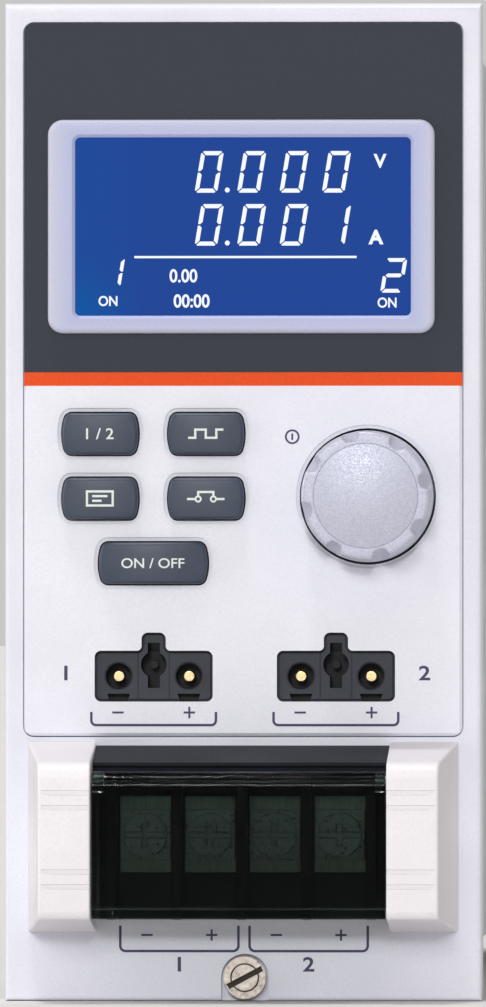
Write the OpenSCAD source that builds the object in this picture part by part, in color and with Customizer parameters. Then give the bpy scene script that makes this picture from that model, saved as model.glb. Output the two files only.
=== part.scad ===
// Plug-in load module: a moulded front with display, keys, knob, sense sockets and covered
// terminals, carried on a narrow sheet-metal chassis with its power stage and fan.
// Millimetres. +X is right seen from the front, the front faces -Y, +Z is up.

/* [Front frame] */
// Width of the front frame
panel_w = 81.4; // [80.4:0.1:86]
// Height of the front frame
panel_h = 170.4; // [169.4:0.1:176]
// Thickness of the frame's front skin
panel_skin = 2.4; // [2.2:0.1:2.8]
// Depth of the frame from its front face to the seat behind its rim
rim_d = 15; // [14.5:0.5:18]
// How far the rim laps over the front of the chassis
rim_lap = 1; // [0.5:0.1:2]
// Wall of the rim
rim_t = 2.2; // [1.6:0.1:2.6]
// Radius of the frame's side and bottom front edges
edge_r = 0.9; // [0.4:0.1:1.4]
// Radius of the frame's top front edge
top_edge_r = 1.6; // [0.6:0.1:2]

/* [Fascia] */
// Margin from the frame's side to the fascia
fascia_side = 3.25; // [3:0.05:3.6]
// Margin from the frame's top to the fascia
fascia_top = 3.4; // [3:0.1:4.5]
// Height of the fascia
fascia_h = 121.8; // [120.8:0.1:122.4]
// Corner radius of the fascia
fascia_r = 1.7; // [1:0.1:3]
// Thickness of the fascia
fascia_t = 1.8; // [1.5:0.1:2]
// How far the fascia stands proud of the frame
fascia_proud = 0.4; // [0.2:0.1:0.6]
// Chamfer round the fascia's front
fascia_chamfer = 0.5; // [0.2:0.05:0.6]
// Gap round the fascia
fascia_gap = 0.2; // [0.1:0.05:0.4]
// Width of the ledge the fascia sits on
ledge_w = 1.8; // [1.4:0.1:2.2]

/* [Display] */
// Height of the dark overlay, down from the fascia's top
overlay_h = 62; // [60:0.1:64]
// Thickness of the overlay film
overlay_t = 0.25; // [0.1:0.05:0.4]
// Width of the display bezel
bezel_w = 66.1; // [62:0.1:67]
// Height of the display bezel
bezel_h = 36.5; // [35:0.1:38]
// Corner radius of the bezel
bezel_r = 2.6; // [1.6:0.1:4]
// Drop from the fascia's top to the bezel's middle
bezel_drop = 34.8; // [33:0.1:36]
// Offset of the bezel to the side
bezel_x = -0.3; // [-0.8:0.1:0.8]
// How far the bezel stands proud of the fascia
bezel_proud = 1.5; // [0.8:0.1:2.5]
// Width of the viewing window
window_w = 57.4; // [52:0.1:58.4]
// Height of the viewing window
window_h = 30.5; // [28:0.1:31]
// Depth of the glass behind the bezel's front
glass_sink = 1.5; // [1:0.1:2]
// Thickness of the display glass
glass_t = 2.2; // [1.6:0.1:2.4]
// Gap behind the fascia's seat to the display board
board_gap = 8.1; // [7.6:0.1:8.6]
// Thickness of the circuit boards
board_t = 1.6; // [1.2:0.1:2]

/* [Keys and knob] */
// Width of a small key
key_w = 13; // [11:0.1:14.5]
// Width of the load key
load_w = 18.6; // [16:0.1:22]
// Height of a key
key_h = 7.1; // [6:0.1:8]
// Radius of a key's bulging ends
key_end_r = 9.3; // [8.5:0.1:14]
// Radius of a key's corners
key_corner_r = 1.3; // [0.6:0.1:2]
// Side pitch of the keys
key_pitch_x = 18.1; // [17.4:0.1:19]
// Upright pitch of the keys
key_pitch_z = 11.05; // [10.9:0.05:11.6]
// Side place of the key group
keypad_x = -15.35; // [-16:0.05:-14.5]
// Drop from the overlay's foot to the first key row
keypad_drop = 8.2; // [8:0.1:9]
// How far a key stands proud of the fascia
key_proud = 2.2; // [1.4:0.1:3.5]
// Travel of a key
key_travel = 0.6; // [0.3:0.1:0.8]
// Width of the sunk ledge round a key and the knob
well_w = 0.6; // [0.4:0.1:0.8]
// Depth of the sunk ledge
well_d = 0.45; // [0.2:0.05:0.7]
// Radius of the knob
knob_r = 11.25; // [10:0.05:11.6]
// Height of the knob over the fascia
knob_proud = 15; // [12:0.5:20]
// Radius of the knob's crowned disc
knob_disc_r = 8.87; // [7.5:0.01:9]
// Side place of the knob
knob_x = 21.3; // [20.5:0.1:22]
// Drop from the overlay's foot to the knob's axis
knob_drop = 18.9; // [18:0.1:19.5]
// Radius of a finger flute on the knob
flute_r = 1.5; // [1.2:0.1:2.6]
// Depth of a flute at the knob's rim
flute_d = 1.9; // [1:0.1:2]
// Radius of the encoder's shaft
shaft_r = 3; // [2.5:0.1:3.2]
// Travel of the knob's push
knob_travel = 0.5; // [0.3:0.1:0.6]

/* [Sense sockets] */
// Pitch between the two sockets
sense_pitch = 31.15; // [30:0.05:32]
// Side place of the socket pair
sense_x = 0.28; // [0:0.02:0.6]
// Width of a socket
sense_w = 20.2; // [19:0.1:21]
// Height of a socket without its tab
sense_h = 8.7; // [8:0.1:9.5]
// Rise from the fascia's foot to a socket's middle
sense_rise = 10.2; // [9.6:0.1:11]
// Width of the tab over a socket
tab_w = 4.15; // [3.4:0.05:5]
// Height of the tab over a socket
tab_h = 3.1; // [2:0.1:4]
// Pitch of the two round contacts
contact_pitch = 12; // [11.6:0.1:12.6]
// Radius of a contact well
contact_well_r = 2.2; // [1.8:0.1:2.4]
// Radius of a contact pin
contact_r = 0.95; // [0.6:0.05:1.1]

/* [Terminals] */
// Distance between the inner faces of the two cheeks
cheek_gap = 50.2; // [50:0.1:52]
// Width of a cheek at the panel
cheek_w = 11.7; // [11.5:0.1:12.5]
// Height of the cheeks' foot above the panel's bottom
cheek_foot = 11.7; // [11:0.1:12.5]
// Height of a cheek at the panel
cheek_h = 32.5; // [32:0.1:33.2]
// Depth of the cheeks in front of the panel
cheek_d = 26; // [24.5:0.5:30]
// Wall of a cheek
cheek_t = 2; // [1.6:0.1:2.4]
// Slope of a cheek's top over its depth
cheek_top_draft = 3.5; // [2:0.1:4]
// Slope of a cheek's bottom over its depth
cheek_foot_draft = 2.6; // [1:0.1:3]
// Slope of a cheek's outer side over its depth
cheek_side_draft = 2.9; // [1:0.1:3.4]
// Radius of a cheek's top front edge
cheek_top_r = 3; // [1:0.1:4]
// Radius of a cheek's bottom front edge
cheek_foot_r = 1.5; // [0.5:0.1:2.5]
// Depth of the finger dish in a cheek's outer side
dish_d = 1; // [0.4:0.1:1.2]
// Pitch of the load terminals
terminal_pitch = 11.05; // [11:0.01:11.2]
// Side place of the terminal row
terminal_x = 0.14; // [0:0.02:0.3]
// Height of the terminal screws over the cheeks' foot
terminal_rise = 16.7; // [16:0.1:17.5]
// Thickness of a barrier between terminals
barrier_t = 1.6; // [1.2:0.1:1.8]
// Reach of the barriers in front of the panel
barrier_d = 13.5; // [13:0.1:14]
// Thickness of the copper terminal bars
bar_t = 1.5; // [1:0.1:2]
// Width of a terminal bar
bar_w = 8; // [6:0.1:8.6]
// Radius of the terminal and panel screws' thread
m4_r = 1.95; // [1.8:0.05:2]
// Radius of a terminal screw's head
terminal_head_r = 3.8; // [3.4:0.1:4.2]
// Wall of the smoked door
door_t = 1.8; // [1.4:0.1:2.2]
// Corner radius of the door's bends
door_r = 2.6; // [2.4:0.1:4]
// Depth of the door's front behind the cheeks' front
door_sink = 3; // [2:0.1:3.4]
// Gap between the door and a cheek
door_gap = 0.25; // [0.15:0.05:0.5]
// Radius of the door's hinge pins
pin_r = 1.2; // [1:0.05:1.3]
// Running clearance of shafts and pins in their bores
run_fit = 0.05; // [0.02:0.01:0.08]

/* [Captive screw] */
// Side place of the captive screw
captive_x = 0.3; // [-1:0.1:1]
// Height of the captive screw's axis
captive_z = 3.93; // [3.9:0.01:4.2]
// Radius of the captive screw's head
captive_head_r = 3.6; // [3.2:0.1:3.7]
// Reach of the captive screw behind the frame's seat
captive_reach = 10; // [8:0.5:16]

/* [Chassis] */
// Width of the chassis
chassis_w = 74; // [73.6:0.1:75]
// Height of the chassis' underside over the panel's bottom
chassis_z = 8.2; // [8.2:0.1:9]
// Height of the chassis
chassis_h = 156.8; // [156:0.1:158]
// Depth of the chassis behind the frame
chassis_d = 420; // [410:1:480]
// Thickness of the chassis sheet
sheet_t = 1.2; // [1:0.1:1.4]
// Thickness of the side cover
cover_t = 1; // [0.8:0.1:1.2]
// Side of the square fan
fan_w = 70; // [68:0.5:70.5]
// Depth of the fan
fan_d = 25; // [22:0.5:28]
// Gap from the left wall to the power board
standoff_h = 4.2; // [3:0.1:5]
// Length of the heat sinks
sink_l = 230; // [200:1:240]
// Number of fins on a heat sink
fin_count = 11; // [7:1:13]
// Thickness of a fin
fin_t = 1.6; // [1.2:0.1:2]
// Reach of the rear connector behind the chassis
connector_reach = 5; // [4:0.5:8]

/* [Hidden] */
$fn = 48;
// A cut runs this far past the face it opens
past = 1;

// Depths, counted from the frame's front face, into the module
chassis_front = rim_d - rim_lap;
y_rear = chassis_front + chassis_d;
frame_shift = (cheek_d - y_rear - connector_reach) / 2;

// Fascia and display
fascia_w = panel_w - 2 * fascia_side;
fascia_z1 = panel_h - fascia_top;
fascia_z0 = fascia_z1 - fascia_h;
fascia_zc = (fascia_z0 + fascia_z1) / 2;
fascia_back = fascia_t - fascia_proud;
overlay_z0 = fascia_z1 - overlay_h;
bezel_z = fascia_z1 - bezel_drop;
bezel_front = -fascia_proud - bezel_proud;
bezel_lip = 1.4;
bezel_lip_t = 1.1;
bezel_back = fascia_back + bezel_lip_t;
bezel_chamfer = 0.8;
window_r = 0.9;
glass_lap = 1.5;
glass_fit = 0.1;
glass_front = bezel_front + glass_sink;
glass_back = glass_front + glass_t;
board_y = fascia_back + board_gap;
board_back = board_y + board_t;
board_w = 58;
board_foot = 3.8;
board_head = 5.5;
board_z0 = fascia_z0 + board_foot;
board_z1 = fascia_z1 - board_head;
board_post_x = 26.5;
board_post_low = 37;
board_post_mid = 3;
board_post_drop = 9;
board_post_z = [overlay_z0 - board_post_low, overlay_z0 + board_post_mid, fascia_z1 - board_post_drop];
board_post_r = 2.5;

// Screws that tap into moulded posts
pilot_r = 1.25;
tap_r = pilot_r - run_fit;
screw_hole_r = 1.7;
screw_head_r = 2.7;
screw_head_h = 2;

// Keys: four small ones in two rows and the wide one under them
keypad_z = overlay_z0 - keypad_drop;
key_gap = 0.25;
key_crown_r = 40;
key_lip = 0.8;
key_lip_t = 1;
stem_r = 1.5;
switch_w = 6;
switch_h = 3.4;
plunger_r = 1.6;
plunger_up = 1;
plunger_in = 1.5;
switch_y = board_y - switch_h;
function key_x(i) = i < 4 ? keypad_x + (i % 2 - 0.5) * key_pitch_x : keypad_x;
function key_z(i) = keypad_z - floor(i / 2) * key_pitch_z;
function key_width(i) = i < 4 ? key_w : load_w;

// Knob and encoder, on an axis that points out of the panel
knob_z = overlay_z0 - knob_drop;
knob_gap = 0.4;
knob_back = -0.9;
knob_skirt = 1.4;
knob_top = fascia_proud + knob_proud;
knob_crown = 0.8;
knob_rim = knob_top - knob_crown;
knob_taper = 0.6;
knob_rim_r = knob_r - knob_taper;
knob_edge = 1.3;
knob_edge_in = 0.4;
disc_groove_w = 0.25;
disc_groove_d = 0.25;
knob_wall = 1.8;
knob_hub_r = 5;
knob_hub_back = 3.2;
knob_crown_r = (knob_disc_r * knob_disc_r + knob_crown * knob_crown) / (2 * knob_crown);
flute_count = 8;
flute_turn = 14;
flute_tilt = atan(flute_d / (knob_rim - knob_skirt));
encoder_w = 12.4;
encoder_gap = 1.4;
encoder_front = -fascia_back - encoder_gap;
bush_r = 4.5;
bush_top = 2.4;
cavity_r = 4.6;
cavity_wall = 1.6;
cavity_front = encoder_front - cavity_wall;
collar_r = 4.2;
collar_t = 0.9;
collar_play = 0.1;
shaft_end = cavity_front - collar_play - collar_t;
shaft_short = 3;
shaft_top = knob_rim - shaft_short;
shaft_flat = 0.5;
flat_out = shaft_r - shaft_flat;
push_t = 1;
push_pin_r = 1.5;
push_pin_l = 1.2;
cavity_end = shaft_end - push_t - push_pin_l - knob_travel - run_fit;

// Sense sockets
sense_z = fascia_z0 + sense_rise;
sense_face = 0.7;
sense_fit = 0.45;
sense_lip = 0.9;
sense_lip_t = 1.2;
sense_corner_r = 1.1;
tab_fillet_r = 0.8;
contact_depth = 5;
contact_chamfer = 0.3;
key_post_r = 0.7;
key_post_sink = 2;
key_slot_w = 2.05;
key_slot_up = 5.7;
key_slot_down = 2;
key_hole_up = 2;
sense_notch_w = 3.9;
sense_notch_foot = 2.95;
sense_notch_h = 0.9;
sense_notch_d = 2.4;
sense_line_x = 2.67;
sense_line_w = 0.2;

// Terminals, cheeks, hood and door
cheek_x = cheek_gap / 2;
cheek_z0 = cheek_foot;
cheek_z1 = cheek_foot + cheek_h;
cheek_post_in = 5.9;
cheek_post_x = cheek_x + cheek_post_in;
cheek_post_rise = 9.3;
cheek_post_drop = 9.2;
cheek_post_z = [cheek_z0 + cheek_post_rise, cheek_z1 - cheek_post_drop];
cheek_post_r = 2.8;
cheek_post_l = 12;
groove_w = 0.95;
groove_d = 0.35;
groove_z = [8.1, 10.6, 21.5, 24];
groove_end = 0.6;
dish_rim_r = 11.5;
dish_r = (dish_rim_r * dish_rim_r + dish_d * dish_d) / (2 * dish_d);
terminal_z = cheek_z0 + terminal_rise;
terminals = [0, 1, 2, 3];
function terminal_at(i) = terminal_x + (i - 1.5) * terminal_pitch;
block_w = 48.8;
block_rise = 2.3;
block_drop = 5.2;
block_z0 = cheek_z0 + block_rise;
block_z1 = cheek_z1 - block_drop;
block_front = -3.5;
block_back = 12.5;
block_fit = 0.2;
block_ear_out = 3;
block_ear_w = 2 * (cheek_post_x + block_ear_out);
block_ear_t = 2.5;
block_ear_inset = 2;
bar_plate_w = 8.8;
bar_plate_h = 13;
bar_drop = 6.4;
bar_z = terminal_z - bar_drop;
bar_slot_gap = 3;
bar_start = 8;
bar_first = chassis_front + bar_start;
bar_step = 10;
function bar_turn(i) = bar_first + i * bar_step;
bar_bore_play = 0.1;
bar_bore_r = m4_r + bar_bore_play;
block_bore_play = 0.45;
block_bore_r = m4_r + block_bore_play;
block_bore_end = 8;
clamp_w = 8.6;
clamp_t = 1.2;
clamp_back = block_front - bar_t;
clamp_front = clamp_back - clamp_t;
terminal_head_h = 2.6;
terminal_shank = 12;
head_slot_w = 1;
head_slot_d = 1.1;
hood_t = 2;
hood_sink = 0.6;
hood_top = cheek_z1 - hood_sink;
hood_front = -15.5;
hood_drop = 2.8;
hood_lip = 3;
hood_nose = 0.7;
hood_step = 1;
door_w = cheek_gap - 2 * door_gap;
door_front = -cheek_d + door_sink;
door_rise = 2.5;
door_drop = 4.9;
door_z0 = cheek_z0 + door_rise;
door_z1 = cheek_z1 - door_drop;
door_top_gap = 0.7;
door_top_end = hood_front - door_top_gap;
door_foot_gap = 1;
door_foot_end = -barrier_d - door_foot_gap;
hinge_out = 2.5;
hinge_drop = 1.9;
hinge_y = hood_front - hinge_out;
hinge_z = door_z1 - hinge_drop;
hinge_ear_t = 1.8;
hinge_ear_r = 1.7;
pin_hold = 4.2;
pin_post_r = 2.8;
pin_post_t = 2.6;
pin_fit = 0.02;

// Captive screw with its slip washer in the frame's boss
captive_sink = 0.5;
captive_floor = panel_skin - captive_sink;
captive_play = 0.45;
captive_pocket_r = captive_head_r + captive_play;
captive_head_front = -1.3;
captive_ring_r = 2.2;
captive_ring_w = 0.3;
captive_slot_turn = 28;
captive_hole_play = 0.35;
captive_hole_r = m4_r + captive_hole_play;
captive_boss_w = 12;
captive_boss_gap = 0.3;
captive_boss_z = chassis_z - captive_boss_gap;
captive_bore_r = 3.4;
captive_bore_d = 7.5;
captive_bore_y = chassis_front - captive_bore_d;
captive_washer_r = 3.15;
captive_washer_t = 0.8;
captive_washer_in = 1.6;
captive_washer_y = chassis_front - captive_washer_in;
captive_neck_d = 0.4;
captive_neck_r = m4_r - captive_neck_d;

// Chassis, cover and fan
chassis_x = chassis_w / 2;
chassis_z1 = chassis_z + chassis_h;
inner_x = chassis_x - sheet_t;
inner_z0 = chassis_z + sheet_t;
inner_z1 = chassis_z1 - sheet_t;
inner_rear = y_rear - sheet_t;
flange_h = 10;
cover_screw_front = 26;
cover_screw_rear = 14;
cover_screw_y = [chassis_front + cover_screw_front, chassis_front + chassis_d / 2,
                 y_rear - fan_d - cover_screw_rear];
cover_screw_z = [chassis_z + flange_h / 2, chassis_z1 - flange_h / 2];
cover_screw_l = 3.6;
cover_head_h = 1.6;
link_x0 = -23;
link_x1 = -5;
link_gap = 1;
link_z = board_post_z[1];
vent_w = 5;
vent_h = 22;
vent_count = 6;
vent_pitch = 9;
vent_start = 40;
vent_y = chassis_front + vent_start;
vent_rows = [0.22, 0.42, 0.62, 0.82];
fan_gap = 0.6;
fan_z = inner_z1 - fan_w / 2 - fan_gap;
fan_front = inner_rear - fan_d;
fan_wall = 1.8;
fan_bore_r = fan_w / 2 - fan_wall;
fan_corner_r = 4;
fan_hole_in = 5;
fan_hole_at = fan_w / 2 - fan_hole_in;
fan_hole_r = 2.15;
fan_hub_r = 14;
fan_hub_t = 3;
fan_strut_w = 3.2;
fan_strut_end = 0.5;
fan_strut_sink = 0.2;
fan_bearing_wall = 1;
fan_tube_r = 4;
stator_r = 11.5;
stator_gap = 3;
fan_shaft_r = 1.5;
rotor_r = 15.5;
rotor_wall = 2;
rotor_sink = 1;
rotor_front = fan_front + rotor_sink;
rotor_gap = 1.3;
rotor_back = inner_rear - fan_hub_t - rotor_gap;
blade_count = 7;
blade_gap = 0.8;
blade_tip_r = fan_bore_r - blade_gap;
blade_t = 1.4;
blade_pitch = 38;
blade_l = 17;
guard_rings = [9, 17, 25, 33];
guard_wire_r = 0.8;
guard_spoke_r = 0.95;
guard_y = y_rear + guard_spoke_r;
guard_eye_r = 4;
fan_screw_r = fan_hole_r - run_fit;
fan_screw_head_r = 3.6;
fan_screw_head_h = 1.9;
fan_screw_l = 14;

// Posts that carry the frame on the chassis
post_side_gap = 0.3;
post_foot_gap = 0.5;
post_x = inner_x - screw_head_r - post_side_gap;
post_z = [inner_z0 + screw_head_r + post_foot_gap, board_post_z[1], board_post_z[2]];
post_r = 3;
post_pilot = 8;
post_rib_t = 2;

// Room the frame leaves for the chassis and for the bezel's flange
frame_play = 0.2;

// Power stage
board_x = -inner_x + standoff_h;
board_face = board_x + board_t;
power_front = 4;
power_y0 = chassis_front + power_front;
power_rear = 48;
power_y1 = fan_front - power_rear;
power_tail_rear = 36;
power_tail_y1 = inner_rear - power_tail_rear;
power_foot = 2.6;
power_head = 2.8;
power_z0 = inner_z0 + power_foot;
power_z1 = inner_z1 - power_head;
power_tail_h = 74;
power_tail_z1 = power_z0 + power_tail_h;
standoff_r = 2.5;
standoff_front = 52;
standoff_rear = 10;
standoff_y = [power_y0 + standoff_front, (power_y0 + power_y1) / 2, power_y1 - standoff_rear];
standoff_foot = 5;
standoff_head = 6;
standoff_z = [power_z0 + standoff_foot, power_z1 - standoff_head];
sink_rear = 8;
sink_y0 = power_y1 - sink_l - sink_rear;
sink_y1 = sink_y0 + sink_l;
sink_base_x = -14;
sink_base_t = 5;
sink_tip_gap = 2;
sink_tip_x = inner_x - cover_screw_l + sheet_t - sink_tip_gap;
sink_split = 4;
sink_h = (inner_z1 - inner_z0 - sink_split) / 2;
sink_foot_t = 3;
sinks = [inner_z0, inner_z1 - sink_h];
package_w = 16;
package_h = 21;
package_t = 5;
package_count = 4;
package_step = sink_l / package_count;
package_z = 34;
lead_w = 1.2;
lead_pitch = 5.4;
lead_l = 4;
connector_w = 11;
connector_h = 55;
connector_foot = 10;
connector_z0 = power_z0 + connector_foot;
connector_lap = 12;
connector_y0 = power_tail_y1 - connector_lap;
connector_rows = 3;
connector_ways = 16;
connector_pitch = 2.54;
connector_slot = 1.1;
connector_slot_d = 6;
rear_vent_count = 7;
rear_vent_w = 3;
rear_vent_pitch = 6.5;
rear_vent_h = 52;
rear_vent_gap = 8;
ribbon_t = 0.9;
ribbon_h = 16;
ribbon_bend = 4;
header_d = 6;
header_h = 9;
header_w = 9;
header_end = 1;
header_front = 28;
header_y = power_y0 + header_front;

// Shunts in front of the flat cable's header, and capacitors between them and the heat sinks
header_gap = 2;
shunt_w = 6;
shunt_t = 1;
shunt_h = 6;
shunt_span = 16;
shunt_y = header_y - header_w / 2 - header_gap - shunt_w / 2;
capacitor_r = 8;
capacitor_l = 24;
capacitor_share = [0.64, 0.76];
capacitor_free = sink_y0 - shunt_y - shunt_w / 2 - 4 * capacitor_r;
capacitor_y = [for (k = [0, 1])
    shunt_y + shunt_w / 2 + capacitor_share[k] * capacitor_free + (2 * k + 1) * capacitor_r];
capacitor_low = 36;
capacitor_high = 40;
capacitor_z = [inner_z0 + capacitor_low, inner_z1 - capacitor_high];

// Puts a piece drawn from the frame's front face into the part's own frame
module in_frame() {
    translate([0, frame_shift, 0]) children();
}

// Extrudes an outline drawn in X and Z from depth y0 to depth y1
module deep(y0, y1) {
    translate([0, y1, 0]) rotate([90, 0, 0]) linear_extrude(y1 - y0) children();
}

// Extrudes an outline drawn in Y and Z from x0 to x1
module across(x0, x1) {
    translate([x0, 0, 0]) rotate([90, 0, 90]) linear_extrude(x1 - x0) children();
}

// A box from its lowest to its highest corner
module block(low, high) {
    translate(low) cube(high - low);
}

// A cylinder along the depth, from y0 to y1, on the axis at x and z
module rod(x, z, r, y0, y1) {
    translate([x, y1, z]) rotate([90, 0, 0]) cylinder(r = r, h = y1 - y0);
}

// A cylinder along X, from x0 to x1, on the axis at y and z
module bolt(y, z, r, x0, x1) {
    translate([x0, y, z]) rotate([0, 90, 0]) cylinder(r = r, h = x1 - x0);
}

// A rectangle with true arcs at its corners, about its middle
module rounded_rect(w, h, r) {
    square([w - 2 * r, h], center = true);
    square([w, h - 2 * r], center = true);
    for (sx = [-1, 1], sz = [-1, 1])
        translate([sx * (w / 2 - r), sz * (h / 2 - r)]) circle(r);
}

// A block with its front edges cut at a slope, made of two crossed trapezoids
module sloped_block(x0, x1, z0, z1, y0, y1, cut_x0, cut_x1, cut_z0, cut_z1) {
    intersection() {
        translate([0, 0, z0])
            linear_extrude(z1 - z0)
                polygon([[x0, y1], [x1, y1], [x1 - cut_x1, y0], [x0 + cut_x0, y0]]);
        across(x0, x1)
            polygon([[y1, z0], [y1, z1], [y0, z1 - cut_z1], [y0, z0 + cut_z0]]);
    }
}

// Frame: a skin with a rim, its front edges rounded by crossed profiles
module frame_form() {
    intersection() {
        linear_extrude(panel_h) {
            translate([-panel_w / 2, edge_r]) square([panel_w, rim_d - edge_r]);
            translate([-panel_w / 2 + edge_r, 0]) square([panel_w - 2 * edge_r, edge_r + past]);
            for (s = [-1, 1]) translate([s * (panel_w / 2 - edge_r), edge_r]) circle(edge_r);
        }
        across(-panel_w / 2, panel_w / 2) {
            translate([top_edge_r, 0]) square([rim_d - top_edge_r, panel_h]);
            translate([0, edge_r]) square([top_edge_r + past, panel_h - edge_r - top_edge_r]);
            translate([edge_r, 0]) square([top_edge_r, 2 * edge_r]);
            translate([edge_r, edge_r]) circle(edge_r);
            translate([top_edge_r, panel_h - top_edge_r]) circle(top_edge_r);
        }
    }
}

// The fascia's outline, grown or shrunk by d
module fascia_outline(d) {
    translate([0, fascia_zc]) rounded_rect(fascia_w + 2 * d, fascia_h + 2 * d, fascia_r + d);
}

module front_frame() color("gainsboro") in_frame() {
    difference() {
        union() {
            difference() {
                frame_form();
                block([-panel_w / 2 + rim_t, panel_skin, rim_t],
                      [panel_w / 2 - rim_t, rim_d + past, panel_h - rim_t]);
                deep(-past, fascia_back) fascia_outline(fascia_gap);
                deep(-past, panel_skin + past)
                    translate([0, fascia_zc])
                        rounded_rect(fascia_w - 2 * ledge_w, fascia_h - 2 * ledge_w, fascia_r);
            }
            for (s = [-1, 1], z = post_z) {
                rod(s * post_x, z, post_r, panel_skin, chassis_front);
                across(s > 0 ? post_x : -panel_w / 2 + rim_t / 2, s > 0 ? panel_w / 2 - rim_t / 2 : -post_x)
                    translate([panel_skin, z - post_rib_t / 2])
                        square([chassis_front - panel_skin, post_rib_t]);
            }
            block([captive_x - captive_boss_w / 2, panel_skin, rim_t / 2],
                  [captive_x + captive_boss_w / 2, chassis_front, captive_boss_z]);
        }
        for (s = [-1, 1], z = post_z)
            rod(s * post_x, z, pilot_r, chassis_front - post_pilot, chassis_front + past);
        block([-chassis_x - frame_play, chassis_front, chassis_z - frame_play],
              [chassis_x + cover_t + frame_play, rim_d + past, chassis_z1 + frame_play]);
        deep(fascia_back, panel_skin + past) translate([bezel_x, bezel_z])
            rounded_rect(bezel_w + 2 * (bezel_lip + frame_play), bezel_h + 2 * (bezel_lip + frame_play),
                         bezel_r + bezel_lip + frame_play);
        block([-block_w / 2 - block_fit, -past, block_z0 - block_fit],
              [block_w / 2 + block_fit, panel_skin + past, block_z1 + block_fit]);
        for (s = [-1, 1], z = cheek_post_z) rod(s * cheek_post_x, z, screw_hole_r, -past, panel_skin + past);
        rod(captive_x, captive_z, captive_pocket_r, -past, captive_floor);
        block([captive_x - captive_pocket_r, -past, -past],
              [captive_x + captive_pocket_r, captive_floor, captive_z]);
        rod(captive_x, captive_z, captive_hole_r, 0, chassis_front);
        rod(captive_x, captive_z, captive_bore_r, captive_bore_y, chassis_front + past);
    }
}

// A key's outline with bulging ends, grown by d
module key_outline(i, d) {
    reach = key_width(i) / 2 - key_end_r;
    corner_z = key_h / 2 - key_corner_r;
    corner_run = sqrt(pow(key_end_r - key_corner_r, 2) - corner_z * corner_z);
    corner_x = reach + corner_run;
    fan = 2 * key_end_r / corner_run;
    square([2 * corner_x, key_h + 2 * d], center = true);
    for (sx = [-1, 1]) {
        intersection() {
            translate([sx * reach, 0]) circle(key_end_r + d);
            translate([sx * reach, 0])
                polygon([[0, 0], [sx * fan * corner_run, fan * corner_z],
                         [sx * fan * corner_run, -fan * corner_z]]);
        }
        for (sz = [-1, 1]) translate([sx * corner_x, sz * corner_z]) circle(key_corner_r + d);
    }
}

// A sense socket's outline with its tab, grown by d
module sense_outline(d) {
    rounded_rect(sense_w + 2 * d, sense_h + 2 * d, sense_corner_r + d);
    translate([0, tab_h / 2]) rounded_rect(tab_w + 2 * d, sense_h + tab_h + 2 * d, sense_corner_r + d);
}

// The same outline shrunk by fit, with the inner corners beside its tab filled by arcs
module sense_opening(fit) {
    fillet = tab_fillet_r + fit;
    sense_outline(-fit);
    for (s = [-1, 1]) translate([s * (tab_w / 2 - fit + fillet / 2), sense_h / 2 - fit + fillet / 2])
        difference() {
            square(fillet, center = true);
            translate([s * fillet / 2, fillet / 2]) circle(fillet);
        }
}

function sense_at(s) = sense_x + s * sense_pitch / 2;

module fascia_plate() color("whitesmoke") in_frame() {
    difference() {
        union() {
            intersection() {
                deep(-fascia_proud, fascia_back) fascia_outline(0);
                sloped_block(-fascia_w / 2, fascia_w / 2, fascia_z0, fascia_z1,
                             -fascia_proud, -fascia_proud + fascia_chamfer,
                             fascia_chamfer, fascia_chamfer, fascia_chamfer, 0);
            }
            deep(-fascia_proud + fascia_chamfer, fascia_back) fascia_outline(0);
            for (s = [-1, 1], z = board_post_z) rod(s * board_post_x, z, board_post_r, fascia_back, board_y);
        }
        block([-fascia_w, -fascia_proud - past, overlay_z0],
              [fascia_w, -fascia_proud + overlay_t, fascia_z1 + past]);
        deep(-fascia_proud - past, fascia_back + past)
            translate([bezel_x, bezel_z]) rounded_rect(bezel_w, bezel_h, bezel_r);
        for (i = [0 : 4]) translate([key_x(i), 0, key_z(i)]) {
            deep(-fascia_proud - past, fascia_back + past) key_outline(i, key_gap);
            deep(-fascia_proud - past, -fascia_proud + well_d) key_outline(i, key_gap + well_w);
        }
        rod(knob_x, knob_z, knob_r + knob_gap, -fascia_proud - past, fascia_back + past);
        rod(knob_x, knob_z, knob_r + knob_gap + well_w, -fascia_proud - past, -fascia_proud + well_d);
        for (s = [-1, 1])
            deep(-fascia_proud - past, fascia_back + past) translate([sense_at(s), sense_z]) sense_opening(0);
        for (s = [-1, 1], z = board_post_z)
            rod(s * board_post_x, z, pilot_r, fascia_back + past, board_y + past);
    }
}

module display_overlay() color("#40444C") in_frame() {
    deep(-fascia_proud, -fascia_proud + overlay_t) difference() {
        intersection() {
            fascia_outline(0);
            translate([-fascia_w, overlay_z0]) square([2 * fascia_w, overlay_h + past]);
        }
        translate([bezel_x, bezel_z]) rounded_rect(bezel_w, bezel_h, bezel_r);
    }
}

module display_bezel() color("#C6C8DE") in_frame() {
    difference() {
        union() {
            deep(bezel_front, bezel_back)
                translate([bezel_x, bezel_z]) rounded_rect(bezel_w, bezel_h, bezel_r);
            deep(fascia_back, bezel_back)
                translate([bezel_x, bezel_z])
                    rounded_rect(bezel_w + 2 * bezel_lip, bezel_h + 2 * bezel_lip, bezel_r + bezel_lip);
        }
        deep(bezel_front - past, bezel_back + past)
            translate([0, bezel_z]) rounded_rect(window_w, window_h, window_r);
        translate([0, 0, bezel_z]) mirror([0, 1, 0])
            sloped_block(-window_w / 2 - bezel_chamfer, window_w / 2 + bezel_chamfer,
                         -window_h / 2 - bezel_chamfer, window_h / 2 + bezel_chamfer,
                         -bezel_front - bezel_chamfer, -bezel_front,
                         bezel_chamfer, bezel_chamfer, bezel_chamfer, bezel_chamfer);
        deep(glass_front, bezel_back + past) translate([0, bezel_z]) glass_outline(glass_fit);
    }
}

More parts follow.
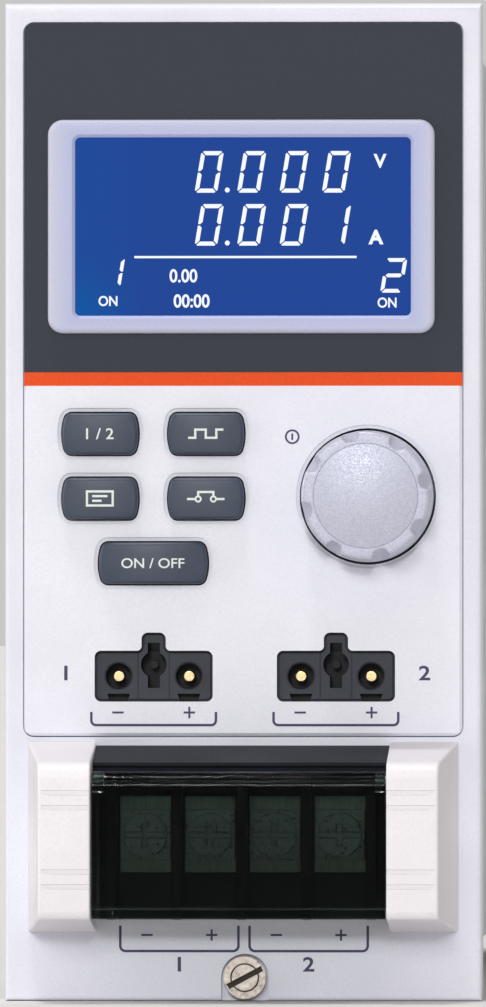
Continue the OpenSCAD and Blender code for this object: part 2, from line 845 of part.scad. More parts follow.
// The outline of the glass and of the backlight behind it, grown by d
module glass_outline(d) {
    square([window_w + 2 * glass_lap + 2 * d, window_h + 2 * glass_lap + 2 * d], center = true);
}

module lcd_glass() color("#164C9C") in_frame() {
    deep(glass_front, glass_back) translate([0, bezel_z]) glass_outline(0);
}

module lcd_backlight() color("silver") in_frame() {
    deep(glass_back, board_y) translate([0, bezel_z]) glass_outline(0);
}

module display_board() color("darkgreen") in_frame() {
    difference() {
        block([-board_w / 2, board_y, board_z0], [board_w / 2, board_back, board_z1]);
        for (s = [-1, 1], z = board_post_z)
            rod(s * board_post_x, z, screw_hole_r, board_y - past, board_back + past);
        for (s = [-1, 1], c = [-1, 1])
            rod(sense_at(s) + c * contact_pitch / 2, sense_z, contact_r + run_fit,
                board_y - past, board_back + past);
    }
}

// One key: a crowned cap, the lip that keeps it behind the fascia, and its stem
module key(i) color("#3D4450") in_frame() {
    crown_y = -fascia_proud - key_proud;
    translate([key_x(i), 0, key_z(i)]) {
        intersection() {
            deep(crown_y, fascia_back) key_outline(i, 0);
            translate([0, crown_y + key_crown_r, 0]) sphere(key_crown_r, $fn = 240);
        }
        deep(fascia_back, fascia_back + key_lip_t) key_outline(i, key_gap + key_lip);
        rod(0, 0, stem_r, fascia_back + key_lip_t, switch_y - plunger_up);
    }
}

module channel_key() key(0);
module mode_key() key(1);
module display_key() key(2);
module short_key() key(3);
module load_key() key(4);

// The plunger of the switch under one key
module plunger(i) color("black") in_frame() {
    rod(key_x(i), key_z(i), plunger_r, switch_y - plunger_up, switch_y + plunger_in);
}

module channel_plunger() plunger(0);
module mode_plunger() plunger(1);
module display_plunger() plunger(2);
module short_plunger() plunger(3);
module load_plunger() plunger(4);

module tact_switches() color("dimgray") in_frame() {
    for (i = [0 : 4]) translate([key_x(i), 0, key_z(i)]) difference() {
        deep(switch_y, board_y) square(switch_w, center = true);
        rod(0, 0, plunger_r + run_fit, switch_y - past, switch_y + plunger_in + key_travel + run_fit);
    }
}

// Puts a piece turned about an upright axis on the knob's axis, pointing out of the panel
module on_knob_axis() {
    in_frame() translate([knob_x, 0, knob_z]) rotate([90, 0, 0]) children();
}

// A round shaft with a flat along one side
module flatted_shaft(r, out, h0, h1) {
    intersection() {
        translate([0, 0, h0]) cylinder(r = r, h = h1 - h0);
        block([-2 * r, -2 * r, h0 - past], [2 * r, out, h1 + past]);
    }
}

module knob() color("#BEC0D0") on_knob_axis() {
    difference() {
        union() {
            rotate_extrude()
                polygon([[0, knob_back], [knob_r, knob_back], [knob_r, knob_skirt],
                         [knob_rim_r, knob_rim - knob_edge],
                         [knob_rim_r - knob_edge_in, knob_rim - knob_edge_in],
                         [knob_rim_r - knob_edge, knob_rim], [0, knob_rim]]);
            intersection() {
                translate([0, 0, knob_top - knob_crown_r]) sphere(knob_crown_r);
                translate([0, 0, knob_rim - past]) cylinder(r = knob_disc_r, h = knob_crown + 2 * past);
            }
        }
        for (k = [0 : flute_count - 1])
            rotate(flute_turn + k * 360 / flute_count)
                translate([knob_r + flute_r, 0, knob_skirt])
                    rotate([0, -flute_tilt, 0]) cylinder(r = flute_r, h = 2 * knob_top);
        rotate_extrude()
            translate([knob_disc_r, knob_rim - disc_groove_d]) square([disc_groove_w, disc_groove_d + past]);
        rotate_extrude()
            polygon([[knob_hub_r, knob_back - past], [knob_r - knob_wall, knob_back - past],
                     [knob_r - knob_wall, knob_skirt],
                     [knob_rim_r - knob_wall - flute_d, knob_rim - 2 * knob_wall],
                     [knob_hub_r, knob_rim - 2 * knob_wall]]);
        translate([0, 0, knob_back - past])
            cylinder(r = knob_hub_r + past, h = knob_hub_back - knob_back + past);
        flatted_shaft(shaft_r + pin_fit, flat_out + pin_fit, knob_back - past, shaft_top);
    }
}

module encoder_shaft() color("silver") on_knob_axis() {
    translate([0, 0, shaft_end]) cylinder(r = collar_r, h = collar_t);
    translate([0, 0, shaft_end]) cylinder(r = shaft_r, h = knob_hub_back - shaft_end);
    flatted_shaft(shaft_r, flat_out, knob_hub_back - past, shaft_top);
}

module encoder_plunger() color("ivory") on_knob_axis() {
    translate([0, 0, shaft_end - push_t]) cylinder(r = collar_r, h = push_t);
    translate([0, 0, shaft_end - push_t - push_pin_l]) cylinder(r = push_pin_r, h = push_pin_l + push_t);
}

module encoder_body() color("slategray") on_knob_axis() {
    difference() {
        union() {
            block([-encoder_w / 2, -encoder_w / 2, -board_y], [encoder_w / 2, encoder_w / 2, encoder_front]);
            translate([0, 0, encoder_front - past]) cylinder(r = bush_r, h = bush_top - encoder_front + past);
        }
        translate([0, 0, cavity_front - past])
            cylinder(r = shaft_r + run_fit, h = bush_top - cavity_front + 2 * past);
        translate([0, 0, cavity_end]) cylinder(r = cavity_r, h = cavity_front - cavity_end);
    }
}

// A sense socket: a keyed insulator with two contact wells and a key hole
module sense_socket(s) color("#40424C") in_frame() {
    translate([sense_at(s), 0, sense_z]) difference() {
        union() {
            deep(sense_face, fascia_back) sense_opening(sense_fit);
            deep(fascia_back, fascia_back + sense_lip_t) sense_outline(sense_lip);
            deep(fascia_back, board_y) square([sense_w, sense_h], center = true);
        }
        for (c = [-1, 1]) {
            contact_well(c * contact_pitch / 2);
            deep(sense_face - past, sense_face + sense_notch_d)
                translate([c * contact_pitch / 2, -sense_h / 2 + sense_fit])
                    polygon([[-sense_notch_foot / 2, -sense_fit], [sense_notch_foot / 2, -sense_fit],
                             [sense_notch_w / 2, sense_notch_h], [-sense_notch_w / 2, sense_notch_h]]);
            block([c * sense_line_x - sense_line_w / 2, sense_face - past, -sense_h],
                  [c * sense_line_x + sense_line_w / 2, sense_face + sense_line_w, sense_h / 2]);
        }
        difference() {
            union() {
                rod(0, key_hole_up, contact_well_r, sense_face - past, sense_face + contact_depth);
                block([-key_slot_w / 2, sense_face - past, -key_slot_down],
                      [key_slot_w / 2, sense_face + contact_depth, key_slot_up]);
            }
            rod(0, key_hole_up, key_post_r, sense_face + key_post_sink, sense_face + contact_depth + past);
        }
    }
}

// The room of one contact: a round well with a chamfered mouth and a bore for the pin
module contact_well(x) {
    rod(x, 0, contact_well_r, sense_face - past, sense_face + contact_depth);
    rod(x, 0, contact_r + run_fit, sense_face, board_y + past);
    translate([x, sense_face + contact_chamfer, 0]) rotate([90, 0, 0])
        cylinder(r1 = contact_well_r, r2 = contact_well_r + 2 * contact_chamfer, h = 2 * contact_chamfer);
}

module sense_socket_left() sense_socket(-1);
module sense_socket_right() sense_socket(1);

module sense_contacts() color("gold") in_frame() {
    for (s = [-1, 1], c = [-1, 1])
        rod(sense_at(s) + c * contact_pitch / 2, sense_z, contact_r, sense_face + past, board_back + past);
}

module terminal_block() color("#1C2026") in_frame() {
    difference() {
        union() {
            block([-block_w / 2, block_front, block_z0], [block_w / 2, block_back, block_z1]);
            block([-block_ear_w / 2, panel_skin, block_z0 + block_ear_inset],
                  [block_ear_w / 2, panel_skin + block_ear_t, block_z1 - block_ear_inset]);
            for (k = [-2 : 2])
                block([terminal_x + k * terminal_pitch - barrier_t / 2, -barrier_d, block_z0],
                      [terminal_x + k * terminal_pitch + barrier_t / 2, block_front + past, block_z1]);
        }
        for (i = terminals) {
            rod(terminal_at(i), terminal_z, block_bore_r, block_front - past, block_bore_end);
            block([terminal_at(i) - bar_w / 2, block_front - past, bar_z],
                  [terminal_at(i) + bar_w / 2, block_back + past, bar_z + bar_t]);
        }
        for (s = [-1, 1], z = cheek_post_z)
            rod(s * cheek_post_x, z, screw_hole_r, panel_skin - past, panel_skin + block_ear_t + past);
    }
}

// Four bent copper bars: a plate under the screw, a tail through the block, a leg to the power board
module terminal_bars() color("peru") in_frame() {
    for (i = terminals) difference() {
        union() {
            block([terminal_at(i) - bar_plate_w / 2, clamp_back, bar_z],
                  [terminal_at(i) + bar_plate_w / 2, block_front, bar_z + bar_plate_h]);
            block([terminal_at(i) - bar_w / 2, clamp_back, bar_z],
                  [terminal_at(i) + bar_w / 2, bar_turn(i) + bar_w / 2, bar_z + bar_t]);
            block([board_x, bar_turn(i) - bar_w / 2, bar_z],
                  [terminal_at(i) + bar_w / 2, bar_turn(i) + bar_w / 2, bar_z + bar_t]);
        }
        rod(terminal_at(i), terminal_z, bar_bore_r, clamp_back - past, block_front + past);
    }
}

// The square washer that presses a wire or lug on its bar
module clamp_washer(i) color("lightsteelblue") in_frame() {
    difference() {
        deep(clamp_front, clamp_back) translate([terminal_at(i), terminal_z]) square(clamp_w, center = true);
        rod(terminal_at(i), terminal_z, bar_bore_r, clamp_front - past, clamp_back + past);
    }
}

module clamp_washer_1() clamp_washer(0);
module clamp_washer_2() clamp_washer(1);
module clamp_washer_3() clamp_washer(2);
module clamp_washer_4() clamp_washer(3);

// A pan head with two crossed slots, from its seat towards the viewer
module crossed_screw(x, z, head_r, head_h, seat_y, shank_r, shank_l) {
    difference() {
        rod(x, z, head_r, seat_y - head_h, seat_y);
        block([x - head_r, seat_y - head_h - past, z - head_slot_w / 2],
              [x + head_r, seat_y - head_h + head_slot_d, z + head_slot_w / 2]);
        block([x - head_slot_w / 2, seat_y - head_h - past, z - head_r / 2],
              [x + head_slot_w / 2, seat_y - head_h + head_slot_d, z + head_r / 2]);
    }
    rod(x, z, shank_r, seat_y - head_h / 3, seat_y + shank_l);
}

module terminal_screw(i) color("silver") in_frame() {
    crossed_screw(terminal_at(i), terminal_z, terminal_head_r, terminal_head_h, clamp_front,
                  m4_r, terminal_shank);
}

module terminal_screw_1() terminal_screw(0);
module terminal_screw_2() terminal_screw(1);
module terminal_screw_3() terminal_screw(2);
module terminal_screw_4() terminal_screw(3);

module terminal_hood() color("#33373C") in_frame() {
    across(-cheek_x, cheek_x)
        polygon([[0, hood_top], [hood_front, hood_top - hood_drop],
                 [hood_front, hood_top - hood_drop - hood_nose],
                 [hood_front + hood_step, hood_top - hood_drop - hood_nose],
                 [hood_front + hood_step, block_z1],
                 [hood_front + hood_lip, block_z1],
                 [hood_front + hood_lip,
                  hood_top - hood_drop * (hood_front + hood_lip) / hood_front - hood_t],
                 [0, hood_top - hood_t]]);
}

// The cheek's tapered outer form, its top and bottom front edges rounded by true arcs
module cheek_form() {
    top_slope = atan(cheek_top_draft / cheek_d);
    foot_slope = atan(cheek_foot_draft / cheek_d);
    top_run = cheek_top_r * tan(45 - top_slope / 2);
    foot_run = cheek_foot_r * tan(45 - foot_slope / 2);
    top_z = cheek_z1 - cheek_top_draft;
    foot_z = cheek_z0 + cheek_foot_draft;
    intersection() {
        translate([0, 0, cheek_z0]) linear_extrude(cheek_h)
            polygon([[cheek_x, 0], [cheek_x + cheek_w, 0],
                     [cheek_x + cheek_w - cheek_side_draft, -cheek_d], [cheek_x, -cheek_d]]);
        across(cheek_x, cheek_x + cheek_w) {
            polygon([[0, cheek_z0], [0, cheek_z1],
                     [-cheek_d + top_run * cos(top_slope), top_z + top_run * sin(top_slope)],
                     [-cheek_d + cheek_top_r, top_z - top_run], [-cheek_d, top_z - top_run],
                     [-cheek_d, foot_z + foot_run], [-cheek_d + cheek_foot_r, foot_z + foot_run],
                     [-cheek_d + foot_run * cos(foot_slope), foot_z - foot_run * sin(foot_slope)]]);
            translate([-cheek_d + cheek_top_r, top_z - top_run]) circle(cheek_top_r);
            translate([-cheek_d + cheek_foot_r, foot_z + foot_run]) circle(cheek_foot_r);
        }
    }
}

// The hollow of a cheek, one wall inside its form
module cheek_hollow() {
    sloped_block(cheek_x + cheek_t, cheek_x + cheek_w - cheek_t, cheek_z0 + cheek_t, cheek_z1 - cheek_t,
                 -cheek_d + cheek_t, past, 0, cheek_side_draft, cheek_foot_draft, cheek_top_draft);
}

// The ball that hollows the finger dish, its middle square to the sloped side
module dish_ball() {
    slope = atan(cheek_side_draft / cheek_d);
    away = dish_r - dish_d;
    translate([cheek_x + cheek_w - cheek_side_draft / 2 + away * cos(slope),
               -cheek_d / 2 - away * sin(slope), (cheek_z0 + cheek_z1) / 2])
        sphere(dish_r, $fn = 240);
}

// The right cheek: a tapered shell with grooves, a dish, screw posts and the seat of a hinge pin
module cheek() {
    difference() {
        union() {
            difference() {
                cheek_form();
                cheek_hollow();
            }
            for (z = cheek_post_z) rod(cheek_post_x, z, cheek_post_r, -cheek_post_l, 0);
            bolt(hinge_y, hinge_z, pin_post_r, cheek_x + cheek_t / 2, cheek_x + cheek_t + pin_post_t);
        }
        for (z = groove_z)
            block([cheek_x - past, -cheek_d - past, cheek_z0 + z - groove_w / 2],
                  [cheek_x + cheek_w - cheek_side_draft - groove_end, -cheek_d + groove_d,
                   cheek_z0 + z + groove_w / 2]);
        dish_ball();
        for (z = cheek_post_z) rod(cheek_post_x, z, pilot_r, -cheek_post_l + cheek_t, past);
        bolt(hinge_y, hinge_z, pin_r + pin_fit, cheek_x - past, cheek_x + pin_hold);
    }
}

module terminal_cheek_left() color("#F0ECEC") in_frame() mirror([1, 0, 0]) cheek();
module terminal_cheek_right() color("#F0ECEC") in_frame() cheek();

module cheek_screws() color("silver") in_frame() {
    seat_y = panel_skin + block_ear_t;
    for (s = [-1, 1], z = cheek_post_z) {
        rod(s * cheek_post_x, z, screw_head_r, seat_y, seat_y + screw_head_h);
        rod(s * cheek_post_x, z, tap_r, -cheek_post_l / 2, seat_y + screw_head_h / 2);
    }
}

// The door's bent wall in section, before it is cut to its top and foot lengths
module door_section() {
    difference() {
        translate([door_front, door_z0]) rounded_corner_rect(-door_front, door_z1 - door_z0, door_r);
        translate([door_front + door_t, door_z0 + door_t])
            rounded_corner_rect(-door_front, door_z1 - door_z0 - 2 * door_t, door_r - door_t);
        translate([door_top_end, (door_z0 + door_z1) / 2]) square([-door_top_end + past, door_z1]);
        translate([door_foot_end, door_z0 - past]) square([-door_foot_end + past, door_z1 - door_z0]);
    }
}

// A rectangle from its low corner whose two low-Y corners are round
module rounded_corner_rect(w, h, r) {
    translate([r, 0]) square([w - r, h]);
    translate([0, r]) square([w, h - 2 * r]);
    for (z = [r, h - r]) translate([r, z]) circle(r);
}

module terminal_door() color("#0A121A", 0.8) in_frame() {
    difference() {
        union() {
            across(-door_w / 2, door_w / 2) door_section();
            for (s = [-1, 1]) {
                x_in = s * (door_w / 2 - hinge_ear_t);
                x_out = s * door_w / 2;
                across(min(x_in, x_out), max(x_in, x_out)) {
                    translate([door_front + door_r, hinge_z - hinge_ear_r])
                        square([hinge_y - door_front - door_r, door_z1 - hinge_z + hinge_ear_r - door_t / 2]);
                    translate([door_front + door_t / 2, hinge_z - hinge_ear_r])
                        square([door_r, door_z1 - door_r - hinge_z + hinge_ear_r]);
                    translate([hinge_y, hinge_z]) circle(hinge_ear_r);
                }
            }
        }
        bolt(hinge_y, hinge_z, pin_r + run_fit, -door_w, door_w);
    }
}

module door_pins() color("silver") in_frame() {
    for (s = [-1, 1]) {
        x_in = s * (door_w / 2 - hinge_ear_t);
        x_out = s * (cheek_x + pin_hold);
        bolt(hinge_y, hinge_z, pin_r, min(x_in, x_out), max(x_in, x_out));
    }
}

// The slotted captive screw, with a neck that its slip washer turns in
module captive_screw() color("silver") in_frame() {
    neck_y0 = captive_washer_y - run_fit;
    neck_y1 = captive_washer_y + captive_washer_t + run_fit;
    difference() {
        rod(captive_x, captive_z, captive_head_r, captive_head_front, captive_floor);
        translate([captive_x, 0, captive_z]) rotate([0, -captive_slot_turn, 0])
            block([-captive_head_r, captive_head_front - past, -head_slot_w / 2],
                  [captive_head_r, captive_head_front + head_slot_d, head_slot_w / 2]);
        difference() {
            rod(captive_x, captive_z, captive_ring_r + captive_ring_w, captive_head_front - past,
                captive_head_front + captive_ring_w);
            rod(captive_x, captive_z, captive_ring_r, captive_head_front - 2 * past,
                captive_head_front + past);
        }
    }
    rod(captive_x, captive_z, m4_r, captive_floor - past / 2, neck_y0);
    rod(captive_x, captive_z, captive_neck_r, neck_y0 - past, neck_y1 + past);
    rod(captive_x, captive_z, m4_r, neck_y1, rim_d + captive_reach);
}

module captive_washer() color("lightsteelblue") in_frame() {
    difference() {
        rod(captive_x, captive_z, captive_washer_r, captive_washer_y, captive_washer_y + captive_washer_t);
        rod(captive_x, captive_z, captive_neck_r + run_fit,
            captive_washer_y - past, captive_washer_y + captive_washer_t + past);
    }
}

// Rows of upright vent slots through a side wall from x0 to x1
module side_vents(x0, x1) {
    for (share = vent_rows, k = [0 : vent_count - 1])
        translate([0, vent_y + k * vent_pitch, chassis_z + share * chassis_h])
            across(x0, x1) rounded_rect(vent_w, vent_h, vent_w / 2 - run_fit);
}

// The folded tray: left wall, top, bottom, front and rear walls, with flanges for the cover
module chassis_tray() color("silver") in_frame() {
    difference() {
        block([-chassis_x, chassis_front, chassis_z], [chassis_x, y_rear, chassis_z1]);
        block([-inner_x, chassis_front + sheet_t, inner_z0], [inner_x, inner_rear, inner_z1]);
        block([0, chassis_front + sheet_t, chassis_z + flange_h],
              [chassis_x + past, inner_rear, chassis_z1 - flange_h]);
        block([-block_w / 2, chassis_front - past, bar_z - bar_slot_gap],
              [block_w / 2, chassis_front + sheet_t + past, bar_z + bar_t + bar_slot_gap]);
        block([link_x0 - link_gap, chassis_front - past, link_z - header_h / 2 - link_gap],
              [link_x1 + link_gap, chassis_front + sheet_t + past, link_z + header_h / 2 + link_gap]);
        for (s = [-1, 1], z = post_z)
            rod(s * post_x, z, screw_hole_r, chassis_front - past, chassis_front + sheet_t + past);
        side_vents(-chassis_x - past, -inner_x + past);
        for (y = cover_screw_y, z = cover_screw_z) bolt(y, z, screw_hole_r, inner_x - past, chassis_x + past);
        rod(0, fan_z, fan_bore_r, inner_rear - past, y_rear + past);
        for (sx = [-1, 1], sz = [-1, 1])
            rod(sx * fan_hole_at, fan_z + sz * fan_hole_at, fan_hole_r, inner_rear - past, y_rear + past);
        block([board_face - past / 2, inner_rear - past, connector_z0 - past / 2],
              [board_face + connector_w + past / 2, y_rear + past, connector_z0 + connector_h + past / 2]);
        for (k = [0 : rear_vent_count - 1])
            deep(inner_rear - past, y_rear + past)
                translate([board_face + connector_w + rear_vent_gap + k * rear_vent_pitch,
                           connector_z0 + connector_h / 2])
                    rounded_rect(rear_vent_w, rear_vent_h, rear_vent_w / 2 - run_fit);
    }
}

module side_cover() color("gainsboro") in_frame() {
    difference() {
        block([chassis_x, chassis_front, chassis_z], [chassis_x + cover_t, y_rear, chassis_z1]);
        side_vents(chassis_x - past, chassis_x + cover_t + past);
        for (y = cover_screw_y, z = cover_screw_z)
            bolt(y, z, screw_hole_r, chassis_x - past, chassis_x + cover_t + past);
    }
}

module cover_screws() color("silver") in_frame() {
    for (y = cover_screw_y, z = cover_screw_z) {
        bolt(y, z, screw_head_r, chassis_x + cover_t, chassis_x + cover_t + cover_head_h);
        bolt(y, z, screw_hole_r - run_fit, chassis_x - cover_screw_l, chassis_x + cover_t + cover_head_h / 2);
    }
}

module panel_screws() color("silver") in_frame() {
    seat_y = chassis_front + sheet_t;
    for (s = [-1, 1], z = post_z) {
        rod(s * post_x, z, screw_head_r, seat_y, seat_y + screw_head_h);
        rod(s * post_x, z, tap_r, chassis_front - post_pilot + past, seat_y + screw_head_h / 2);
    }
}

module fan_frame() color("#202224") in_frame() translate([0, 0, fan_z]) {
    difference() {
        deep(fan_front, inner_rear) rounded_rect(fan_w, fan_w, fan_corner_r);
        rod(0, 0, fan_bore_r, fan_front - past, inner_rear + past);
        for (sx = [-1, 1], sz = [-1, 1])
            rod(sx * fan_hole_at, sz * fan_hole_at, fan_hole_r, fan_front - past, inner_rear + past);
    }
    difference() {
        union() {
            rod(0, 0, fan_hub_r, inner_rear - fan_hub_t, inner_rear);
            for (k = [0 : 3]) rotate([0, 45 + 90 * k, 0])
                block([fan_hub_r / 2, inner_rear - fan_hub_t, -fan_strut_w / 2],
                      [fan_bore_r + fan_strut_end, inner_rear - fan_strut_sink, fan_strut_w / 2]);
            rod(0, 0, fan_tube_r, rotor_front + rotor_wall + past, inner_rear - fan_hub_t / 2);
            rod(0, 0, stator_r, rotor_front + rotor_wall + stator_gap, inner_rear - fan_hub_t / 2);
        }
        rod(0, 0, fan_shaft_r + run_fit, rotor_front, inner_rear - fan_bearing_wall);
    }
}

// The rotor: a cup on a shaft with pitched blades cut from a ring
module fan_rotor() color("#2A2C2E") in_frame() translate([0, 0, fan_z]) {
    difference() {
        rod(0, 0, rotor_r, rotor_front, rotor_back);
        rod(0, 0, rotor_r - rotor_wall, rotor_front + rotor_wall, rotor_back + past);
    }
    rod(0, 0, fan_shaft_r, rotor_front + rotor_wall / 2, inner_rear - fan_hub_t);
    intersection() {
        difference() {
            rod(0, 0, blade_tip_r, rotor_front, rotor_front + blade_l);
            rod(0, 0, rotor_r - rotor_wall / 2, rotor_front - past, rotor_front + blade_l + past);
        }
        for (k = [0 : blade_count - 1]) rotate([0, k * 360 / blade_count, 0])
            translate([0, rotor_front + blade_l / 2, 0]) rotate([0, 0, blade_pitch])
                block([-blade_t / 2, -blade_l, rotor_wall], [blade_t / 2, blade_l, fan_w / 2]);
    }
}

module fan_guard() color("lightgray") in_frame() translate([0, guard_y, fan_z]) {
    for (r = guard_rings)
        rotate([90, 0, 0]) rotate_extrude() translate([r, 0]) circle(guard_wire_r);
    for (sx = [-1, 1], sz = [-1, 1]) difference() {
        union() {
            rotate([0, atan2(sx, sz), 0]) translate([0, 0, guard_rings[0] - guard_spoke_r])
                cylinder(r = guard_spoke_r, h = sqrt(2) * fan_hole_at - guard_rings[0] - guard_eye_r / 2);
            rod(sx * fan_hole_at, sz * fan_hole_at, guard_eye_r, -guard_spoke_r, guard_spoke_r);
        }
        rod(sx * fan_hole_at, sz * fan_hole_at, fan_hole_r + run_fit, -2 * guard_spoke_r, 2 * guard_spoke_r);
    }
}

module fan_screws() color("silver") in_frame() translate([0, 0, fan_z]) {
    seat_y = guard_y + guard_spoke_r;
    for (sx = [-1, 1], sz = [-1, 1]) {
        rod(sx * fan_hole_at, sz * fan_hole_at, fan_screw_head_r, seat_y, seat_y + fan_screw_head_h);
        rod(sx * fan_hole_at, sz * fan_hole_at, fan_screw_r,
            seat_y - fan_screw_l, seat_y + fan_screw_head_h / 2);
    }
}

module power_board() color("darkgreen") in_frame() {
    difference() {
        union() {
            block([board_x, power_y0, power_z0], [board_face, power_y1, power_z1]);
            block([board_x, power_y1 - past, power_z0], [board_face, power_tail_y1, power_tail_z1]);
        }
        for (i = terminals)
            block([board_x - past, bar_turn(i) - bar_w / 2, bar_z],
                  [board_face + past, bar_turn(i) + bar_w / 2, bar_z + bar_t]);
        for (y = standoff_y, z = standoff_z) bolt(y, z, screw_hole_r, board_x - past, board_face + past);
    }
}

module board_standoffs() color("gold") in_frame() {
    for (y = standoff_y, z = standoff_z) difference() {
        bolt(y, z, standoff_r, -inner_x, board_x);
        bolt(y, z, pilot_r, -inner_x + past, board_x + past);
    }
}

// The screws of both boards
module board_screws() color("silver") in_frame() {
    for (y = standoff_y, z = standoff_z) {
        bolt(y, z, screw_head_r, board_face, board_face + screw_head_h);
        bolt(y, z, tap_r, board_x - standoff_h / 2, board_face + screw_head_h / 2);
    }
    for (s = [-1, 1], z = board_post_z) {
        rod(s * board_post_x, z, screw_head_r, board_back, board_back + screw_head_h);
        rod(s * board_post_x, z, tap_r, board_y - board_gap / 2, board_back + screw_head_h / 2);
    }
}

// Two finned extrusions, one over the other, each with feet along its edges
module heat_sinks() color("silver") in_frame() {
    fin_step = (sink_h - sink_foot_t) / (fin_count - 1);
    for (z = sinks) deep(sink_y0, sink_y1) {
        translate([sink_base_x, z]) square([sink_base_t, sink_h]);
        for (k = [1 : fin_count - 2])
            translate([sink_base_x + sink_base_t / 2, z + sink_foot_t / 2 + k * fin_step - fin_t / 2])
                square([sink_tip_x - sink_base_x - sink_base_t / 2, fin_t]);
        for (foot = [0, sink_h - sink_foot_t])
            translate([sink_base_x + sink_base_t / 2, z + foot])
                square([sink_tip_x - sink_base_x - sink_base_t / 2, sink_foot_t]);
    }
}

// Power packages on the heat sinks' backs, with their leads bent to the board
module power_transistors() color("#202224") in_frame() {
    for (z = sinks, k = [0 : package_count - 1])
        translate([0, sink_y0 + (k + 0.5) * package_step, z + package_z]) {
            block([sink_base_x - package_t, -package_w / 2, 0], [sink_base_x, package_w / 2, package_h]);
            for (n = [-1 : 1]) {
                block([sink_base_x - package_t / 2, n * lead_pitch - lead_w / 2, -lead_l],
                      [sink_base_x - package_t / 2 + lead_w, n * lead_pitch + lead_w / 2, past]);
                block([board_face, n * lead_pitch - lead_w / 2, -lead_l],
                      [sink_base_x - package_t / 2 + lead_w, n * lead_pitch + lead_w / 2, -lead_l + lead_w]);
            }
        }
}

module current_shunts() color("peru") in_frame() {
    for (z = capacitor_z) difference() {
        block([board_face, shunt_y - shunt_w / 2, z],
              [board_face + shunt_h, shunt_y + shunt_w / 2, z + shunt_span]);
        block([board_face - past, shunt_y - shunt_w, z + shunt_t],
              [board_face + shunt_h - shunt_t, shunt_y + shunt_w, z + shunt_span - shunt_t]);
    }
}

module filter_capacitors() color("#28324A") in_frame() {
    for (y = capacitor_y, z = capacitor_z) bolt(y, z, capacitor_r, board_face, board_face + capacitor_l);
}

module backplane_connector() color("#C8C0A8") in_frame() {
    y_back = y_rear + connector_reach;
    difference() {
        block([board_face, connector_y0, connector_z0],
              [board_face + connector_w, y_back, connector_z0 + connector_h]);
        for (r = [0 : connector_rows - 1], k = [0 : connector_ways - 1])
            translate([board_face + connector_w / 2 + (r - 1) * connector_pitch, y_back,
                       connector_z0 + connector_h / 2 + (k - (connector_ways - 1) / 2) * connector_pitch])
                cube([connector_slot, 2 * connector_slot_d, connector_slot], center = true);
    }
}

// The flat cable between the two boards, with the header at each end
module board_link() color("dimgray") in_frame() {
    link_x = (link_x0 + link_x1) / 2;
    from_y = board_back + header_d;
    to_x = board_face + header_d;
    block([link_x0, board_back, link_z - header_h / 2], [link_x1, from_y, link_z + header_h / 2]);
    block([board_face, header_y - header_w / 2, link_z - ribbon_h / 2 - header_end],
          [to_x, header_y + header_w / 2, link_z + ribbon_h / 2 + header_end]);
    translate([0, 0, link_z - ribbon_h / 2]) linear_extrude(ribbon_h) {
        translate([link_x - ribbon_t / 2, from_y]) square([ribbon_t, header_y - ribbon_bend - from_y]);
        translate([to_x, header_y - ribbon_t / 2]) square([link_x - ribbon_bend - to_x, ribbon_t]);
        intersection() {
            translate([link_x - ribbon_bend, header_y - ribbon_bend]) difference() {
                circle(ribbon_bend + ribbon_t / 2);
                circle(ribbon_bend - ribbon_t / 2);
            }
            translate([link_x - ribbon_bend, header_y - ribbon_bend]) square(2 * ribbon_bend);
        }
    }
}

front_frame();
fascia_plate();
display_overlay();
display_bezel();
lcd_glass();
lcd_backlight();
display_board();
channel_key();
mode_key();
display_key();
short_key();
load_key();
channel_plunger();
mode_plunger();
display_plunger();
short_plunger();
load_plunger();
tact_switches();
knob();
encoder_shaft();
encoder_plunger();
encoder_body();
sense_socket_left();
sense_socket_right();
sense_contacts();
terminal_block();
terminal_bars();
clamp_washer_1();
clamp_washer_2();
clamp_washer_3();
clamp_washer_4();
terminal_screw_1();
terminal_screw_2();
terminal_screw_3();
terminal_screw_4();
terminal_hood();
terminal_cheek_left();
terminal_cheek_right();
cheek_screws();
terminal_door();
door_pins();
captive_screw();
captive_washer();
chassis_tray();
side_cover();
cover_screws();
panel_screws();
fan_frame();
fan_rotor();
fan_guard();
fan_screws();
power_board();
board_standoffs();
board_screws();
heat_sinks();
power_transistors();
current_shunts();
filter_capacitors();
backplane_connector();
board_link();
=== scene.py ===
"""Looks of a plug-in load module: its finishes, its rounded shells, its print and its studio."""

import logging
import math
from collections.abc import Callable, Iterable, Sequence
from dataclasses import dataclass
from enum import Enum

